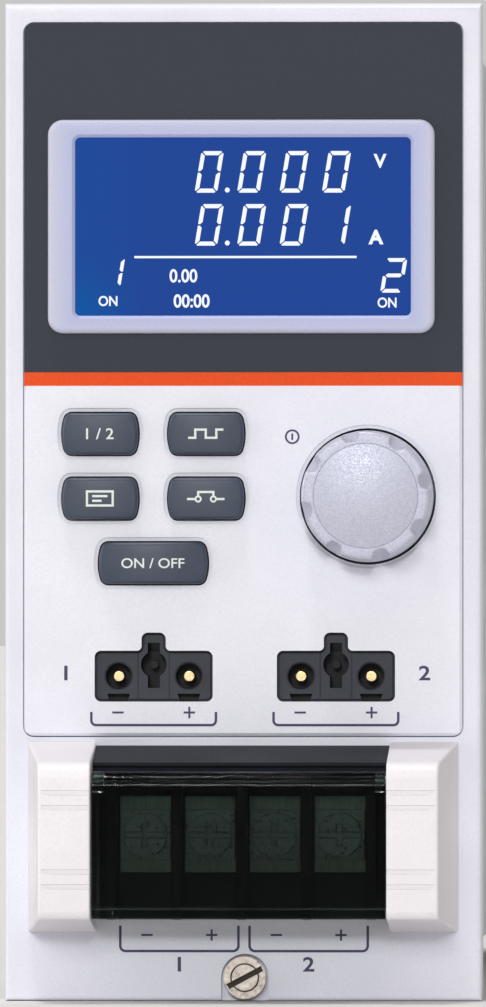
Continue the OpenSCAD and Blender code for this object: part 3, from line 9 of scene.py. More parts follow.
import bmesh
import bpy
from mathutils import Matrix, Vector


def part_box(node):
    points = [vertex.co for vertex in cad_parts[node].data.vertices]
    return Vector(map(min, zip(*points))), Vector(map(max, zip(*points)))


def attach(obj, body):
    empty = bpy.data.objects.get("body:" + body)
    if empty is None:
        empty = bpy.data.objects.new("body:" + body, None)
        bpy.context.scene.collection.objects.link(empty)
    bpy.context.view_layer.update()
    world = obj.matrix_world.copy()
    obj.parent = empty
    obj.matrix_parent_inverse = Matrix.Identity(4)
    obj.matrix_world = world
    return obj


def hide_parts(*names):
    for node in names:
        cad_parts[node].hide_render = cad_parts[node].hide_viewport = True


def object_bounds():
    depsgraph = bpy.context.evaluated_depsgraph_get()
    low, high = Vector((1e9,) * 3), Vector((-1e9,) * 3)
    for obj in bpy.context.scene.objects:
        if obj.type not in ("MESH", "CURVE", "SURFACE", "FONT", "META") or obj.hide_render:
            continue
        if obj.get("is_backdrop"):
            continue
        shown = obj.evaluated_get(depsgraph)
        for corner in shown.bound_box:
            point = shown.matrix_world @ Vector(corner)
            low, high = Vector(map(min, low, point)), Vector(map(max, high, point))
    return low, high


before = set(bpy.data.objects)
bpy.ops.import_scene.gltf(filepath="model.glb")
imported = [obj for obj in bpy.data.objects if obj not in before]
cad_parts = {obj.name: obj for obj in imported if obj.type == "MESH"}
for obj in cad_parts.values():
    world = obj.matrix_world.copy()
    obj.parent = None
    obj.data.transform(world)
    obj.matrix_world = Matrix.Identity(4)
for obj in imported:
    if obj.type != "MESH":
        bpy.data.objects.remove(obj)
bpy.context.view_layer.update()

LOG = logging.getLogger("load_module")

# Shapes are worked out in millimetres, and each finished mesh is scaled to metres
MM = 0.001
NOISE = "ShaderNodeTexNoise"
CELLS = "ShaderNodeTexVoronoi"
MIX = "ShaderNodeMix"
REMAP = "ShaderNodeMapRange"
BUMP = "ShaderNodeBump"
MATH = "ShaderNodeMath"
VECTOR = "ShaderNodeVectorMath"

# Sockets of a Mix node that mixes colours
MIX_SHARE, MIX_FIRST, MIX_SECOND, MIX_OUT = 0, 6, 7, 2

Point = tuple[float, float]
Polygon = list[Point]
Sockets = dict[str | int, object]


def linear(code: str) -> tuple[float, float, float, float]:
    """Turns an sRGB hex colour into linear light.

    Args:
        code: Colour written as #RRGGBB.

    Returns:
        Red, green, blue and an alpha of one.
    """
    shares = [int(code[i:i + 2], 16) / 255 for i in (1, 3, 5)]
    red, green, blue = (s / 12.92 if s <= 0.04045 else ((s + 0.055) / 1.055) ** 2.4 for s in shares)
    return red, green, blue, 1.0


def add_node(
    tree: bpy.types.NodeTree,
    kind: str,
    values: Sockets | None = None,
    links: Sockets | None = None,
    **settings: object,
) -> bpy.types.Node:
    """Adds a node to a tree.

    Args:
        tree: Tree that gets the node.
        kind: Blender's name for the node.
        values: Constant for each input, by name or number.
        links: Output that feeds each input, by name or number.
        settings: Properties of the node itself.

    Returns:
        The new node.
    """
    node = tree.nodes.new(kind)
    for name, setting in settings.items():
        setattr(node, name, setting)
    for socket, value in (values or {}).items():
        node.inputs[socket].default_value = value
    for socket, source in (links or {}).items():
        tree.links.new(source, node.inputs[socket])
    return node


def per_mm(size: float) -> float:
    """Gives the texture scale at which one cell of a pattern is that many millimetres wide."""
    return 1.0 / (size * MM)


# Finishes


@dataclass(frozen=True)
class Finish:
    """A finish of the part: its name, the record's slot it belongs to and its main colour."""

    name: str
    slot: str
    colour: str
    roughness: float

    def look(self, tree: bpy.types.NodeTree, place: bpy.types.NodeSocket) -> tuple[Sockets, Sockets]:
        """Builds the pattern of the finish.

        Args:
            tree: Tree of the material.
            place: Object coordinates of the surface.

        Returns:
            The shader's constants and the links into it.
        """
        raise NotImplementedError

    def material(self) -> bpy.types.Material:
        """Gives the material of this finish, made once.

        Returns:
            The material.
        """
        ready = bpy.data.materials.get(self.name)
        if ready:
            return ready
        made = bpy.data.materials.new(self.name)
        made.use_nodes = True
        tree = made.node_tree
        tree.nodes.clear()
        place = add_node(tree, "ShaderNodeTexCoord").outputs["Object"]
        values, links = self.look(tree, place)
        shader = add_node(tree, "ShaderNodeBsdfPrincipled", values, links)
        add_node(tree, "ShaderNodeOutputMaterial", {}, {"Surface": shader.outputs[0]})
        return made


@dataclass(frozen=True)
class MouldedPlastic(Finish):
    """Injection-moulded plastic: an even tone with faint flow clouds and a spark-eroded grain.

    The real grain is about 0.05 mm. It is drawn several times as coarse, so that it still shows.
    """

    shade: str
    cloud_mm: float = 16.0
    grain_mm: float = 0.45
    lift_mm: float = 0.012
    ior: float = 1.53
    specular: float = 0.5

    def look(self, tree: bpy.types.NodeTree, place: bpy.types.NodeSocket) -> tuple[Sockets, Sockets]:
        """Mixes two close tones by cloud and grain, and lifts the grain."""
        cloud = add_node(tree, NOISE, {"Scale": per_mm(self.cloud_mm), "Detail": 3.0}, {"Vector": place})
        grain = add_node(tree, NOISE, {"Scale": per_mm(self.grain_mm), "Detail": 2.0}, {"Vector": place})
        blend = add_node(tree, MATH, {}, {0: cloud.outputs[0], 1: grain.outputs[0]}, operation="MULTIPLY")
        share = add_node(tree, REMAP, {"From Min": 0.1, "From Max": 0.42}, {"Value": blend.outputs[0]})
        tones = {MIX_FIRST: linear(self.shade), MIX_SECOND: linear(self.colour)}
        tone = add_node(tree, MIX, tones, {MIX_SHARE: share.outputs[0]}, data_type="RGBA")
        span = {"To Min": self.roughness - 0.08, "To Max": self.roughness + 0.08}
        gloss = add_node(tree, REMAP, span, {"Value": grain.outputs[0]})
        relief = {"Strength": 0.5, "Distance": self.lift_mm * MM}
        bump = add_node(tree, BUMP, relief, {"Height": grain.outputs[0]})
        return {"IOR": self.ior, "Specular IOR Level": self.specular}, {
            "Base Color": tone.outputs[MIX_OUT],
            "Roughness": gloss.outputs[0],
            "Normal": bump.outputs[0],
        }


@dataclass(frozen=True)
class ShadedHollowPlastic(MouldedPlastic):
    """Moulded plastic of a socket with painted shade: drawn darker with its depth, so that its hollows look
    black as if unlit.
    """

    face_y: float = 0.0
    start_mm: float = 0.3
    fade_mm: float = 1.6
    darkest_share: float = 0.12

    def look(self, tree: bpy.types.NodeTree, place: bpy.types.NodeSocket) -> tuple[Sockets, Sockets]:
        """Darkens the plastic with its depth behind the face, as painted shade in the hollows."""
        values, links = super().look(tree, place)
        depth = add_node(tree, "ShaderNodeSeparateXYZ", {}, {"Vector": place}).outputs["Y"]
        span = {
            "From Min": (self.face_y + self.start_mm) * MM,
            "From Max": (self.face_y + self.fade_mm) * MM,
            "To Min": 1.0,
            "To Max": self.darkest_share,
        }
        # Painted shade: the base colour is scaled down with depth behind the face, standing in for the dark
        # of the hollows
        fade = add_node(tree, REMAP, span, {"Value": depth})
        scaled = {0: links["Base Color"], "Scale": fade.outputs[0]}
        links["Base Color"] = add_node(tree, VECTOR, {}, scaled, operation="SCALE").outputs[0]
        return values, links


@dataclass(frozen=True)
class PrintedFilm(Finish):
    """Back-printed polyester film: a dark matt field over a bright band along its foot."""

    band: str
    band_from_z: float
    band_to_z: float
    grain_mm: float = 0.5
    specular: float = 0.1

    def look(self, tree: bpy.types.NodeTree, place: bpy.types.NodeSocket) -> tuple[Sockets, Sockets]:
        """Splits the field from the band by height, with the film's fine matt coat over both."""
        height = add_node(tree, "ShaderNodeSeparateXYZ", {}, {"Vector": place}).outputs["Z"]
        over = add_node(tree, MATH, {1: self.band_from_z * MM}, {0: height}, operation="GREATER_THAN")
        under = add_node(tree, MATH, {1: self.band_to_z * MM}, {0: height}, operation="LESS_THAN")
        inside = add_node(tree, MATH, {}, {0: over.outputs[0], 1: under.outputs[0]}, operation="MULTIPLY")
        grain = add_node(tree, NOISE, {"Scale": per_mm(self.grain_mm), "Detail": 2.0}, {"Vector": place})
        lift = add_node(tree, REMAP, {"To Min": 0.86, "To Max": 1.14}, {"Value": grain.outputs[0]})
        inks = {MIX_FIRST: linear(self.colour), MIX_SECOND: linear(self.band)}
        ink = add_node(tree, MIX, inks, {MIX_SHARE: inside.outputs[0]}, data_type="RGBA")
        scaled = {0: ink.outputs[MIX_OUT], "Scale": lift.outputs[0]}
        tone = add_node(tree, VECTOR, {}, scaled, operation="SCALE")
        span = {"To Min": self.roughness - 0.06, "To Max": self.roughness + 0.06}
        gloss = add_node(tree, REMAP, span, {"Value": grain.outputs[0]})
        return {"IOR": 1.57, "Specular IOR Level": self.specular}, {
            "Base Color": tone.outputs[0],
            "Roughness": gloss.outputs[0],
        }


@dataclass(frozen=True)
class FrostedAcrylic(Finish):
    """Frosted acrylic: light spreads inside it, so it glows faintly where the display is near."""

    glow: str
    middle: tuple[float, float]
    window: tuple[float, float]
    reach_mm: float = 4.0
    spread: float = 0.03

    def look(self, tree: bpy.types.NodeTree, place: bpy.types.NodeSocket) -> tuple[Sockets, Sockets]:
        """Tints the acrylic by its distance from the window's edge."""
        parts = add_node(tree, "ShaderNodeSeparateXYZ", {}, {"Vector": place})
        gaps = []
        for axis, middle, size in zip("XZ", self.middle, self.window):
            shift = add_node(tree, MATH, {1: middle * MM}, {0: parts.outputs[axis]}, operation="SUBTRACT")
            far = add_node(tree, MATH, {}, {0: shift.outputs[0]}, operation="ABSOLUTE")
            gap = add_node(tree, MATH, {1: size / 2 * MM}, {0: far.outputs[0]}, operation="SUBTRACT")
            gaps.append(gap.outputs[0])
        gap = add_node(tree, MATH, {}, dict(enumerate(gaps)), operation="MAXIMUM")
        fade = {"From Min": 0.0, "From Max": self.reach_mm * MM, "To Min": 1.0, "To Max": 0.0}
        share = add_node(tree, REMAP, fade, {"Value": gap.outputs[0]})
        tones = {MIX_FIRST: linear(self.colour), MIX_SECOND: linear(self.glow)}
        tint = add_node(tree, MIX, tones, {MIX_SHARE: share.outputs[0]}, data_type="RGBA")
        frost = add_node(tree, NOISE, {"Scale": per_mm(0.4), "Detail": 2.0}, {"Vector": place})
        speck = add_node(tree, REMAP, {"To Min": 0.9, "To Max": 1.1}, {"Value": frost.outputs[0]})
        scaled = {0: tint.outputs[MIX_OUT], "Scale": speck.outputs[0]}
        tone = add_node(tree, VECTOR, {}, scaled, operation="SCALE")
        spread = {0: tint.outputs[MIX_OUT], "Scale": share.outputs[0]}
        light = add_node(tree, VECTOR, {}, spread, operation="SCALE")
        span = {"To Min": self.roughness - 0.1, "To Max": self.roughness + 0.1}
        gloss = add_node(tree, REMAP, span, {"Value": frost.outputs[0]})
        bump = add_node(tree, BUMP, {"Strength": 0.4, "Distance": 0.01 * MM}, {"Height": frost.outputs[0]})
        values = {"IOR": 1.49, "Emission Strength": self.spread}
        return values, {
            "Base Color": tone.outputs[0],
            "Emission Color": light.outputs[0],
            "Roughness": gloss.outputs[0],
            "Normal": bump.outputs[0],
        }


@dataclass(frozen=True)
class BacklitGlass(Finish):
    """Negative liquid-crystal glass: a deep blue field, greener by the lamp at its lower left corner."""

    spill: str
    middle: tuple[float, float]
    window: tuple[float, float]
    glow: float = 1.0
    spill_mm: tuple[float, float] = (13.0, 11.0)
    specular: float = 0.08

    def look(self, tree: bpy.types.NodeTree, place: bpy.types.NodeSocket) -> tuple[Sockets, Sockets]:
        """Lights the field, with the lamp's spill fading from the left edge and the foot."""
        parts = add_node(tree, "ShaderNodeSeparateXYZ", {}, {"Vector": place})
        fades = []
        for axis, middle, size, reach, rest in zip("XZ", self.middle, self.window, self.spill_mm, (0.0, 0.3)):
            edge = middle - size / 2
            span = {"From Min": edge * MM, "From Max": (edge + reach) * MM, "To Min": 1.0, "To Max": rest}
            place_on = {"Value": parts.outputs[axis]}
            fade = add_node(tree, REMAP, span, place_on, interpolation_type="SMOOTHSTEP")
            fades.append(fade.outputs[0])
        spill = add_node(tree, MATH, {}, dict(enumerate(fades)), operation="MULTIPLY")
        cloud = add_node(tree, NOISE, {"Scale": per_mm(14.0), "Detail": 1.0}, {"Vector": place})
        sway = add_node(tree, REMAP, {"To Min": 0.75, "To Max": 1.0}, {"Value": cloud.outputs[0]})
        share = add_node(tree, MATH, {}, {0: spill.outputs[0], 1: sway.outputs[0]}, operation="MULTIPLY")
        tones = {MIX_FIRST: linear(self.colour), MIX_SECOND: linear(self.spill)}
        tone = add_node(tree, MIX, tones, {MIX_SHARE: share.outputs[0]}, data_type="RGBA")
        values = {
            "Base Color": linear("#05080F"),
            "Roughness": self.roughness,
            "IOR": 1.5,
            "Specular IOR Level": self.specular,
            "Emission Strength": self.glow,
        }
        return values, {"Emission Color": tone.outputs[MIX_OUT]}


@dataclass(frozen=True)
class LitSegment(Finish):
    """Clear segment of the display that lets the lamp through, with the lamp's slight unevenness."""

    shade: str
    glow: float = 0.95

    def look(self, tree: bpy.types.NodeTree, place: bpy.types.NodeSocket) -> tuple[Sockets, Sockets]:
        """Varies the light over a few millimetres."""
        cloud = add_node(tree, NOISE, {"Scale": per_mm(6.0), "Detail": 2.0}, {"Vector": place})
        tones = {MIX_FIRST: linear(self.shade), MIX_SECOND: linear(self.colour)}
        tone = add_node(tree, MIX, tones, {MIX_SHARE: cloud.outputs[0]}, data_type="RGBA")
        values = {
            "Base Color": linear("#20242C"),
            "Roughness": self.roughness,
            "Emission Strength": self.glow,
        }
        return values, {"Emission Color": tone.outputs[MIX_OUT]}


@dataclass(frozen=True)
class Ink(Finish):
    """Pad-printed ink: opaque, matt and slightly uneven where the pad left it thin. It also serves as painted
    shade in a screw's slot.
    """

    thin: str

    def look(self, tree: bpy.types.NodeTree, place: bpy.types.NodeSocket) -> tuple[Sockets, Sockets]:
        """Thins the ink in fine spots."""
        spots = add_node(tree, NOISE, {"Scale": per_mm(0.6), "Detail": 3.0}, {"Vector": place})
        tones = {MIX_FIRST: linear(self.thin), MIX_SECOND: linear(self.colour)}
        tone = add_node(tree, MIX, tones, {MIX_SHARE: spots.outputs[0]}, data_type="RGBA")
        return {"Roughness": self.roughness}, {"Base Color": tone.outputs[MIX_OUT]}


@dataclass(frozen=True)
class SprayedMetallic(Finish):
    """Silver paint sprayed on moulded plastic: fine flakes that each catch the light their own way.

    Real flakes are about 0.03 mm. They are drawn coarser, so that their sparkle shows.
    """

    dark: str
    flake_mm: float = 0.18
    metallic: float = 0.3

    def look(self, tree: bpy.types.NodeTree, place: bpy.types.NodeSocket) -> tuple[Sockets, Sockets]:
        """Gives each flake a tone and a tilt of its own."""
        flakes = add_node(tree, CELLS, {"Scale": per_mm(self.flake_mm)}, {"Vector": place})
        pick = add_node(tree, "ShaderNodeSeparateColor", {}, {0: flakes.outputs["Color"]})
        tones = {MIX_FIRST: linear(self.dark), MIX_SECOND: linear(self.colour)}
        tone = add_node(tree, MIX, tones, {MIX_SHARE: pick.outputs[0]}, data_type="RGBA")
        span = {"To Min": self.roughness - 0.1, "To Max": self.roughness + 0.14}
        gloss = add_node(tree, REMAP, span, {"Value": pick.outputs[1]})
        bump = add_node(tree, BUMP, {"Strength": 0.2, "Distance": 0.01 * MM}, {"Height": pick.outputs[2]})
        values = {"Metallic": self.metallic}
        return values, {
            "Base Color": tone.outputs[MIX_OUT],
            "Roughness": gloss.outputs[0],
            "Normal": bump.outputs[0],
        }


@dataclass(frozen=True)
class WorkedMetal(Finish):
    """Bare or plated metal with the marks of its making drawn out along one direction.

    The stretch gives the size of the marks along X, Y and Z: long along the tool's way.
    """

    dark: str
    stretch_mm: tuple[float, float, float] = (0.4, 0.4, 0.4)
    lift_mm: float = 0.01
    spread: float = 0.2

    def look(self, tree: bpy.types.NodeTree, place: bpy.types.NodeSocket) -> tuple[Sockets, Sockets]:
        """Draws tool marks in tone, gloss and relief."""
        scale = tuple(per_mm(size) for size in self.stretch_mm)
        turned = add_node(tree, "ShaderNodeMapping", {"Scale": scale}, {"Vector": place})
        marks = add_node(tree, NOISE, {"Scale": 1.0, "Detail": 4.0}, {"Vector": turned.outputs[0]})
        span = {"From Min": 0.5 - self.spread, "From Max": 0.5 + self.spread}
        share = add_node(tree, REMAP, span, {"Value": marks.outputs[0]})
        tones = {MIX_FIRST: linear(self.dark), MIX_SECOND: linear(self.colour)}
        tone = add_node(tree, MIX, tones, {MIX_SHARE: share.outputs[0]}, data_type="RGBA")
        span = {"To Min": self.roughness - 0.1, "To Max": self.roughness + 0.1}
        gloss = add_node(tree, REMAP, span, {"Value": marks.outputs[0]})
        relief = {"Strength": 0.4, "Distance": self.lift_mm * MM}
        bump = add_node(tree, BUMP, relief, {"Height": marks.outputs[0]})
        return {"Metallic": 1.0}, {
            "Base Color": tone.outputs[MIX_OUT],
            "Roughness": gloss.outputs[0],
            "Normal": bump.outputs[0],
        }


@dataclass(frozen=True)
class ZincSheet(Finish):
    """Hot-dip zinc on sheet steel: crystal flakes, each with its own grey and gloss."""

    dark: str
    spangle_mm: float = 7.0
    ragged_mm: float = 1.5
    contrast: float = 0.28

    def look(self, tree: bpy.types.NodeTree, place: bpy.types.NodeSocket) -> tuple[Sockets, Sockets]:
        """Gives each crystal its grey, with fine rolling marks over all of them."""
        warp = add_node(tree, NOISE, {"Scale": per_mm(4.0), "Detail": 2.0}, {"Vector": place})
        bend = {"Scale": self.ragged_mm * MM}
        bent = add_node(tree, VECTOR, bend, {0: warp.outputs["Color"]}, operation="SCALE")
        moved = add_node(tree, VECTOR, {}, {0: place, 1: bent.outputs[0]}, operation="ADD")
        cells = add_node(tree, CELLS, {"Scale": per_mm(self.spangle_mm)}, {"Vector": moved.outputs[0]})
        pick = add_node(tree, "ShaderNodeSeparateColor", {}, {0: cells.outputs["Color"]})
        fine = add_node(tree, NOISE, {"Scale": per_mm(0.8), "Detail": 3.0}, {"Vector": place})
        blend = add_node(tree, MATH, {}, {0: pick.outputs[0], 1: fine.outputs[0]}, operation="MULTIPLY")
        span = {"To Min": 0.5 - self.contrast, "To Max": 0.5 + self.contrast}
        share = add_node(tree, REMAP, span, {"Value": blend.outputs[0]})
        tones = {MIX_FIRST: linear(self.dark), MIX_SECOND: linear(self.colour)}
        tone = add_node(tree, MIX, tones, {MIX_SHARE: share.outputs[0]}, data_type="RGBA")
        span = {"To Min": self.roughness - 0.08, "To Max": self.roughness + 0.12}
        gloss = add_node(tree, REMAP, span, {"Value": pick.outputs[1]})
        return {"Metallic": 0.9}, {"Base Color": tone.outputs[MIX_OUT], "Roughness": gloss.outputs[0]}


@dataclass(frozen=True)
class SmokedPolycarbonate(Finish):
    """Smoked polycarbonate: clear and glossy, but dark enough to hide most of what lies behind.

    The real index is 1.58. It is set lower, so that the sheet stays dark before a pale room.
    """

    haze_mm: float = 9.0
    ior: float = 1.13

    def look(self, tree: bpy.types.NodeTree, place: bpy.types.NodeSocket) -> tuple[Sockets, Sockets]:
        """Lets a little light through, with faint moulding haze in the gloss."""
        haze = add_node(tree, NOISE, {"Scale": per_mm(self.haze_mm), "Detail": 3.0}, {"Vector": place})
        span = {"To Min": self.roughness - 0.03, "To Max": self.roughness + 0.05}
        gloss = add_node(tree, REMAP, span, {"Value": haze.outputs[0]})
        values = {
            "Base Color": linear(self.colour),
            "Transmission Weight": 1.0,
            "IOR": self.ior,
        }
        return values, {"Roughness": gloss.outputs[0]}


@dataclass(frozen=True)
class SolderMask(Finish):
    """Green solder mask over copper: tracks show as lighter lines under a glossy lacquer."""

    track: str
    track_mm: float = 3.2

    def look(self, tree: bpy.types.NodeTree, place: bpy.types.NodeSocket) -> tuple[Sockets, Sockets]:
        """Draws square-cornered tracks from the borders of cells."""
        cells = add_node(
            tree,
            CELLS,
            {"Scale": per_mm(self.track_mm), "Randomness": 0.8},
            {"Vector": place},
            feature="F1",
            distance="CHEBYCHEV",
        )
        line = add_node(tree, MATH, {1: 0.42}, {0: cells.outputs["Distance"]}, operation="GREATER_THAN")
        tones = {MIX_FIRST: linear(self.colour), MIX_SECOND: linear(self.track)}
        tone = add_node(tree, MIX, tones, {MIX_SHARE: line.outputs[0]}, data_type="RGBA")
        bump = add_node(tree, BUMP, {"Strength": 0.4, "Distance": 0.035 * MM}, {"Height": line.outputs[0]})
        values = {"Roughness": self.roughness, "Coat Weight": 0.3}
        return values, {"Base Color": tone.outputs[MIX_OUT], "Normal": bump.outputs[0]}


@dataclass(frozen=True)
class RibbonCable(Finish):
    """Flat cable: round PVC cores side by side, which give fine ribs along its length."""

    groove: str
    pitch_mm: float = 1.27

    def look(self, tree: bpy.types.NodeTree, place: bpy.types.NodeSocket) -> tuple[Sockets, Sockets]:
        """Ribs the cable across its height."""
        ribs = add_node(
            tree,
            "ShaderNodeTexWave",
            {"Scale": math.tau / 20 * per_mm(self.pitch_mm)},
            {"Vector": place},
            bands_direction="Z",
        )
        tones = {MIX_FIRST: linear(self.groove), MIX_SECOND: linear(self.colour)}
        tone = add_node(tree, MIX, tones, {MIX_SHARE: ribs.outputs["Fac"]}, data_type="RGBA")
        bump = add_node(tree, BUMP, {"Strength": 0.6, "Distance": 0.3 * MM}, {"Height": ribs.outputs["Fac"]})
        return {"Roughness": self.roughness}, {"Base Color": tone.outputs[MIX_OUT], "Normal": bump.outputs[0]}


# Plane of the frame's front face, from which all depths on the front are measured
FRAME_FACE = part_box("front_frame")[0].y / MM
SOCKET_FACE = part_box("sense_socket_left")[0].y / MM
WINDOW_MIDDLE = (0.0, 132.2)
WINDOW_SIZE = (57.4, 30.5)

# White ABS of the front, a little cool, and the warmer one of the cheeks
FRAME_ABS = MouldedPlastic("abs_moulded_frame", "frame_abs", "#E2E3EE", 0.5, "#D8D9E4")
FASCIA_ABS = MouldedPlastic("abs_moulded_fascia", "fascia_abs", "#E6E7F1", 0.48, "#DCDDE7")
CHEEK_ABS = MouldedPlastic("abs_moulded_cheek", "cheek_abs", "#E8E5E9", 0.45, "#DFDBE0")
OVERLAY_FILM = PrintedFilm("polyester_film_printed", "overlay_film", "#383C44", 0.5, "#E05022", 105.0, 107.3)
BEZEL_ACRYLIC = FrostedAcrylic(
    "acrylic_frosted", "bezel_acrylic", "#BEC0D2", 0.45, "#A8AED2", WINDOW_MIDDLE, WINDOW_SIZE
)
DISPLAY_GLASS = BacklitGlass(
    "liquid_crystal_glass_backlit", "lcd_glass", "#1A4395", 0.18, "#0054A2", WINDOW_MIDDLE, WINDOW_SIZE
)
LIT_SEGMENT = LitSegment("liquid_crystal_segment_lit", "lcd_glass", "#FBFDFF", 0.3, "#EDF3FC")
DARK_INK = Ink("ink_pad_printed_indigo", "fascia_abs", "#3A3454", 0.6, "#4A4466")
PALE_INK = Ink("ink_pad_printed_white", "key_rubber", "#E2EAE4", 0.6, "#CBD4D0")
KEY_RUBBER = MouldedPlastic(
    "silicone_rubber_moulded", "key_rubber", "#343F52", 0.42, "#2B3546", 5.0, 0.35, 0.01, 1.43, 0.8
)
KNOB_PAINT = SprayedMetallic("silver_paint_sprayed", "knob_abs", "#C4C6D6", 0.42, "#B0B2C4")
# Socket plastic with painted shade that darkens its hollows with depth
SOCKET_PLASTIC = ShadedHollowPlastic(
    "polyamide_moulded_socket", "socket_plastic", "#3A3C46", 0.5, "#30323B", 6.0, 0.4, 0.012, 1.53, 0.3,
    face_y=SOCKET_FACE,
)
HOOD_PLASTIC = MouldedPlastic(
    "abs_moulded_hood", "hood_plastic", "#23272E", 0.5, "#1C2026", 9.0, 0.45, 0.012, 1.53, 0.06
)
BLOCK_PLASTIC = MouldedPlastic("polyester_moulded_block", "block_plastic", "#1B1D20", 0.45, "#131517", 8.0)
SWITCH_PLASTIC = MouldedPlastic("polyamide_moulded_switch", "switch_plastic", "#26282B", 0.5, "#1C1E21", 4.0)
FAN_PLASTIC = MouldedPlastic("polyester_moulded_fan", "fan_plastic", "#1E2023", 0.48, "#15171A", 8.0)
PACKAGE_EPOXY = MouldedPlastic("epoxy_moulded_package", "package_epoxy", "#17181A", 0.6, "#101113", 3.0)
CAN_SLEEVE = MouldedPlastic("vinyl_sleeve_shrunk", "can_sleeve", "#1D2B4A", 0.3, "#162240", 10.0)
CONNECTOR_PLASTIC = MouldedPlastic(
    "polyester_moulded_connector", "connector_plastic", "#B8B2A4", 0.5, "#ABA596"
)
BACKLIGHT_PLASTIC = MouldedPlastic("acrylic_light_guide", "backlight", "#E6ECF2", 0.3, "#D6DEE8", 12.0)
DOOR_SMOKE = SmokedPolycarbonate("polycarbonate_smoked", "door_smoke", "#65716F", 0.06)
CONTACT_GOLD = WorkedMetal("gold_plate_turned", "contact_gold", "#F4E2B8", 0.25, "#E2C68C", (0.3, 0.1, 0.3))
BAR_TIN = WorkedMetal("copper_bar_tinned", "bar_copper", "#CFCDC4", 0.36, "#A9A69C", (0.3, 6.0, 4.0))
SHUNT_ALLOY = WorkedMetal("manganin_strip_rolled", "bar_copper", "#C08A66", 0.35, "#A06C4C", (0.3, 6.0, 4.0))
STANDOFF_BRASS = WorkedMetal("brass_turned", "contact_gold", "#D9BC76", 0.3, "#B8954F", (0.1, 0.5, 0.5))
SCREW_STEEL = WorkedMetal(
    "steel_zinc_plated_turned", "screw_steel", "#CFCDC8", 0.3, "#A9A7A1", (0.5, 0.1, 0.5)
)
CAPTIVE_NICKEL = WorkedMetal(
    "steel_nickel_plated_turned", "screw_steel", "#D6CCC3", 0.3, "#968D85", (0.7, 0.3, 0.7), 0.02, 0.3
)
# Painted shade that darkens the recesses of the captive screw's slot and ring groove
SLOT_SHADE = Ink("grime_in_slot", "screw_steel", "#2C2622", 0.7, "#4A423C")
SINK_ALUMINIUM = WorkedMetal(
    "aluminium_extruded", "sink_aluminium", "#C8CBCE", 0.38, "#A9ADB2", (0.3, 40.0, 0.3)
)
SHEET_STEEL = ZincSheet("steel_sheet_galvanised", "sheet_steel", "#C9CDD1", 0.4, "#9BA1A7")
CIRCUIT_BOARD = SolderMask("glass_epoxy_board_masked", "circuit_board", "#0E4A2C", 0.35, "#1C6B3E")
FLAT_CABLE = RibbonCable("vinyl_ribbon_cable", "cable_grey", "#9A9EA3", 0.5, "#6E7276")


# Mesh tools


def node_box(node: str) -> tuple[Vector, Vector]:
    """Gives a CAD node's lowest and highest corners in millimetres."""
    low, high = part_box(node)
    return Vector(low) / MM, Vector(high) / MM


def node_middle(node: str) -> Vector:
    """Gives the middle of a CAD node's box in millimetres."""
    low, high = node_box(node)
    return (low + high) / 2


def as_piece(name: str, work: bmesh.types.BMesh, smooth_deg: float = 35.0) -> bpy.types.Object:
    """Turns a mesh in millimetres into a linked object in metres.

    Args:
        name: Name of the piece.
        work: Mesh in millimetres, which is used up.
        smooth_deg: Edges that bend less than this are shaded smooth.

    Returns:
        The object, at the origin, with its place in its mesh.
    """
    bmesh.ops.scale(work, vec=(MM, MM, MM), verts=work.verts)
    mesh = bpy.data.meshes.new(name)
    work.to_mesh(mesh)
    work.free()
    mesh.shade_smooth()
    mesh.set_sharp_from_angle(angle=math.radians(smooth_deg))
    piece = bpy.data.objects.new(name, mesh)
    bpy.context.scene.collection.objects.link(piece)
    even = piece.modifiers.new("even_normals", "WEIGHTED_NORMAL")
    even.keep_sharp = True
    even.weight = 100
    return settled(piece)


def settled(piece: bpy.types.Object) -> bpy.types.Object:
    """Turns what a piece's modifiers make of it into its own mesh.

    Args:
        piece: Piece with modifiers.

    Returns:
        The piece, without them.
    """
    rough = piece.data
    graph = bpy.context.evaluated_depsgraph_get()
    piece.data = bpy.data.meshes.new_from_object(piece.evaluated_get(graph))
    piece.modifiers.clear()
    bpy.data.meshes.remove(rough)
    piece.data.name = piece.name
    return piece


def islands(node: str) -> list[tuple[Vector, Vector]]:
    """Finds the separate solids of a CAD node.

    Args:
        node: CAD node.

    Returns:
        Lowest and highest corner of each solid in millimetres.
    """
    work = bmesh.new()
    work.from_mesh(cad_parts[node].data)
    bmesh.ops.remove_doubles(work, verts=work.verts, dist=0.001 * MM)
    left = set(work.verts)
    boxes = []
    while left:
        edge = [left.pop()]
        solid = list(edge)
        while edge:
            near = {link.other_vert(edge[-1]) for link in edge[-1].link_edges} & left
            edge.pop()
            left -= near
            edge += near
            solid += near
        low = Vector([min(vert.co[k] for vert in solid) for k in range(3)]) / MM
        high = Vector([max(vert.co[k] for vert in solid) for k in range(3)]) / MM
        boxes.append((low, high))
    work.free()
    return sorted(boxes, key=lambda box: tuple(box[0]))


def skin(rings: Sequence[Sequence[Vector]], looped: bool = False) -> bmesh.types.BMesh:
    """Joins closed rings of equal count into one shell.

    Args:
        rings: Rings of points in millimetres, in order.
        looped: Joins the last ring to the first, where the ends aren't capped.

    Returns:
        The shell, with its faces outward.
    """
    work = bmesh.new()
    rows = [[work.verts.new(point) for point in ring] for ring in rings]
    pairs = list(zip(rows, rows[1:]))
    if looped:
        pairs.append((rows[-1], rows[0]))
    else:
        work.faces.new(rows[0])
        work.faces.new(rows[-1])
    for low, high in pairs:
        for i in range(len(low)):
            j = (i + 1) % len(low)
            work.faces.new((low[i], low[j], high[j], high[i]))
    bmesh.ops.recalc_face_normals(work, faces=work.faces)
    return work


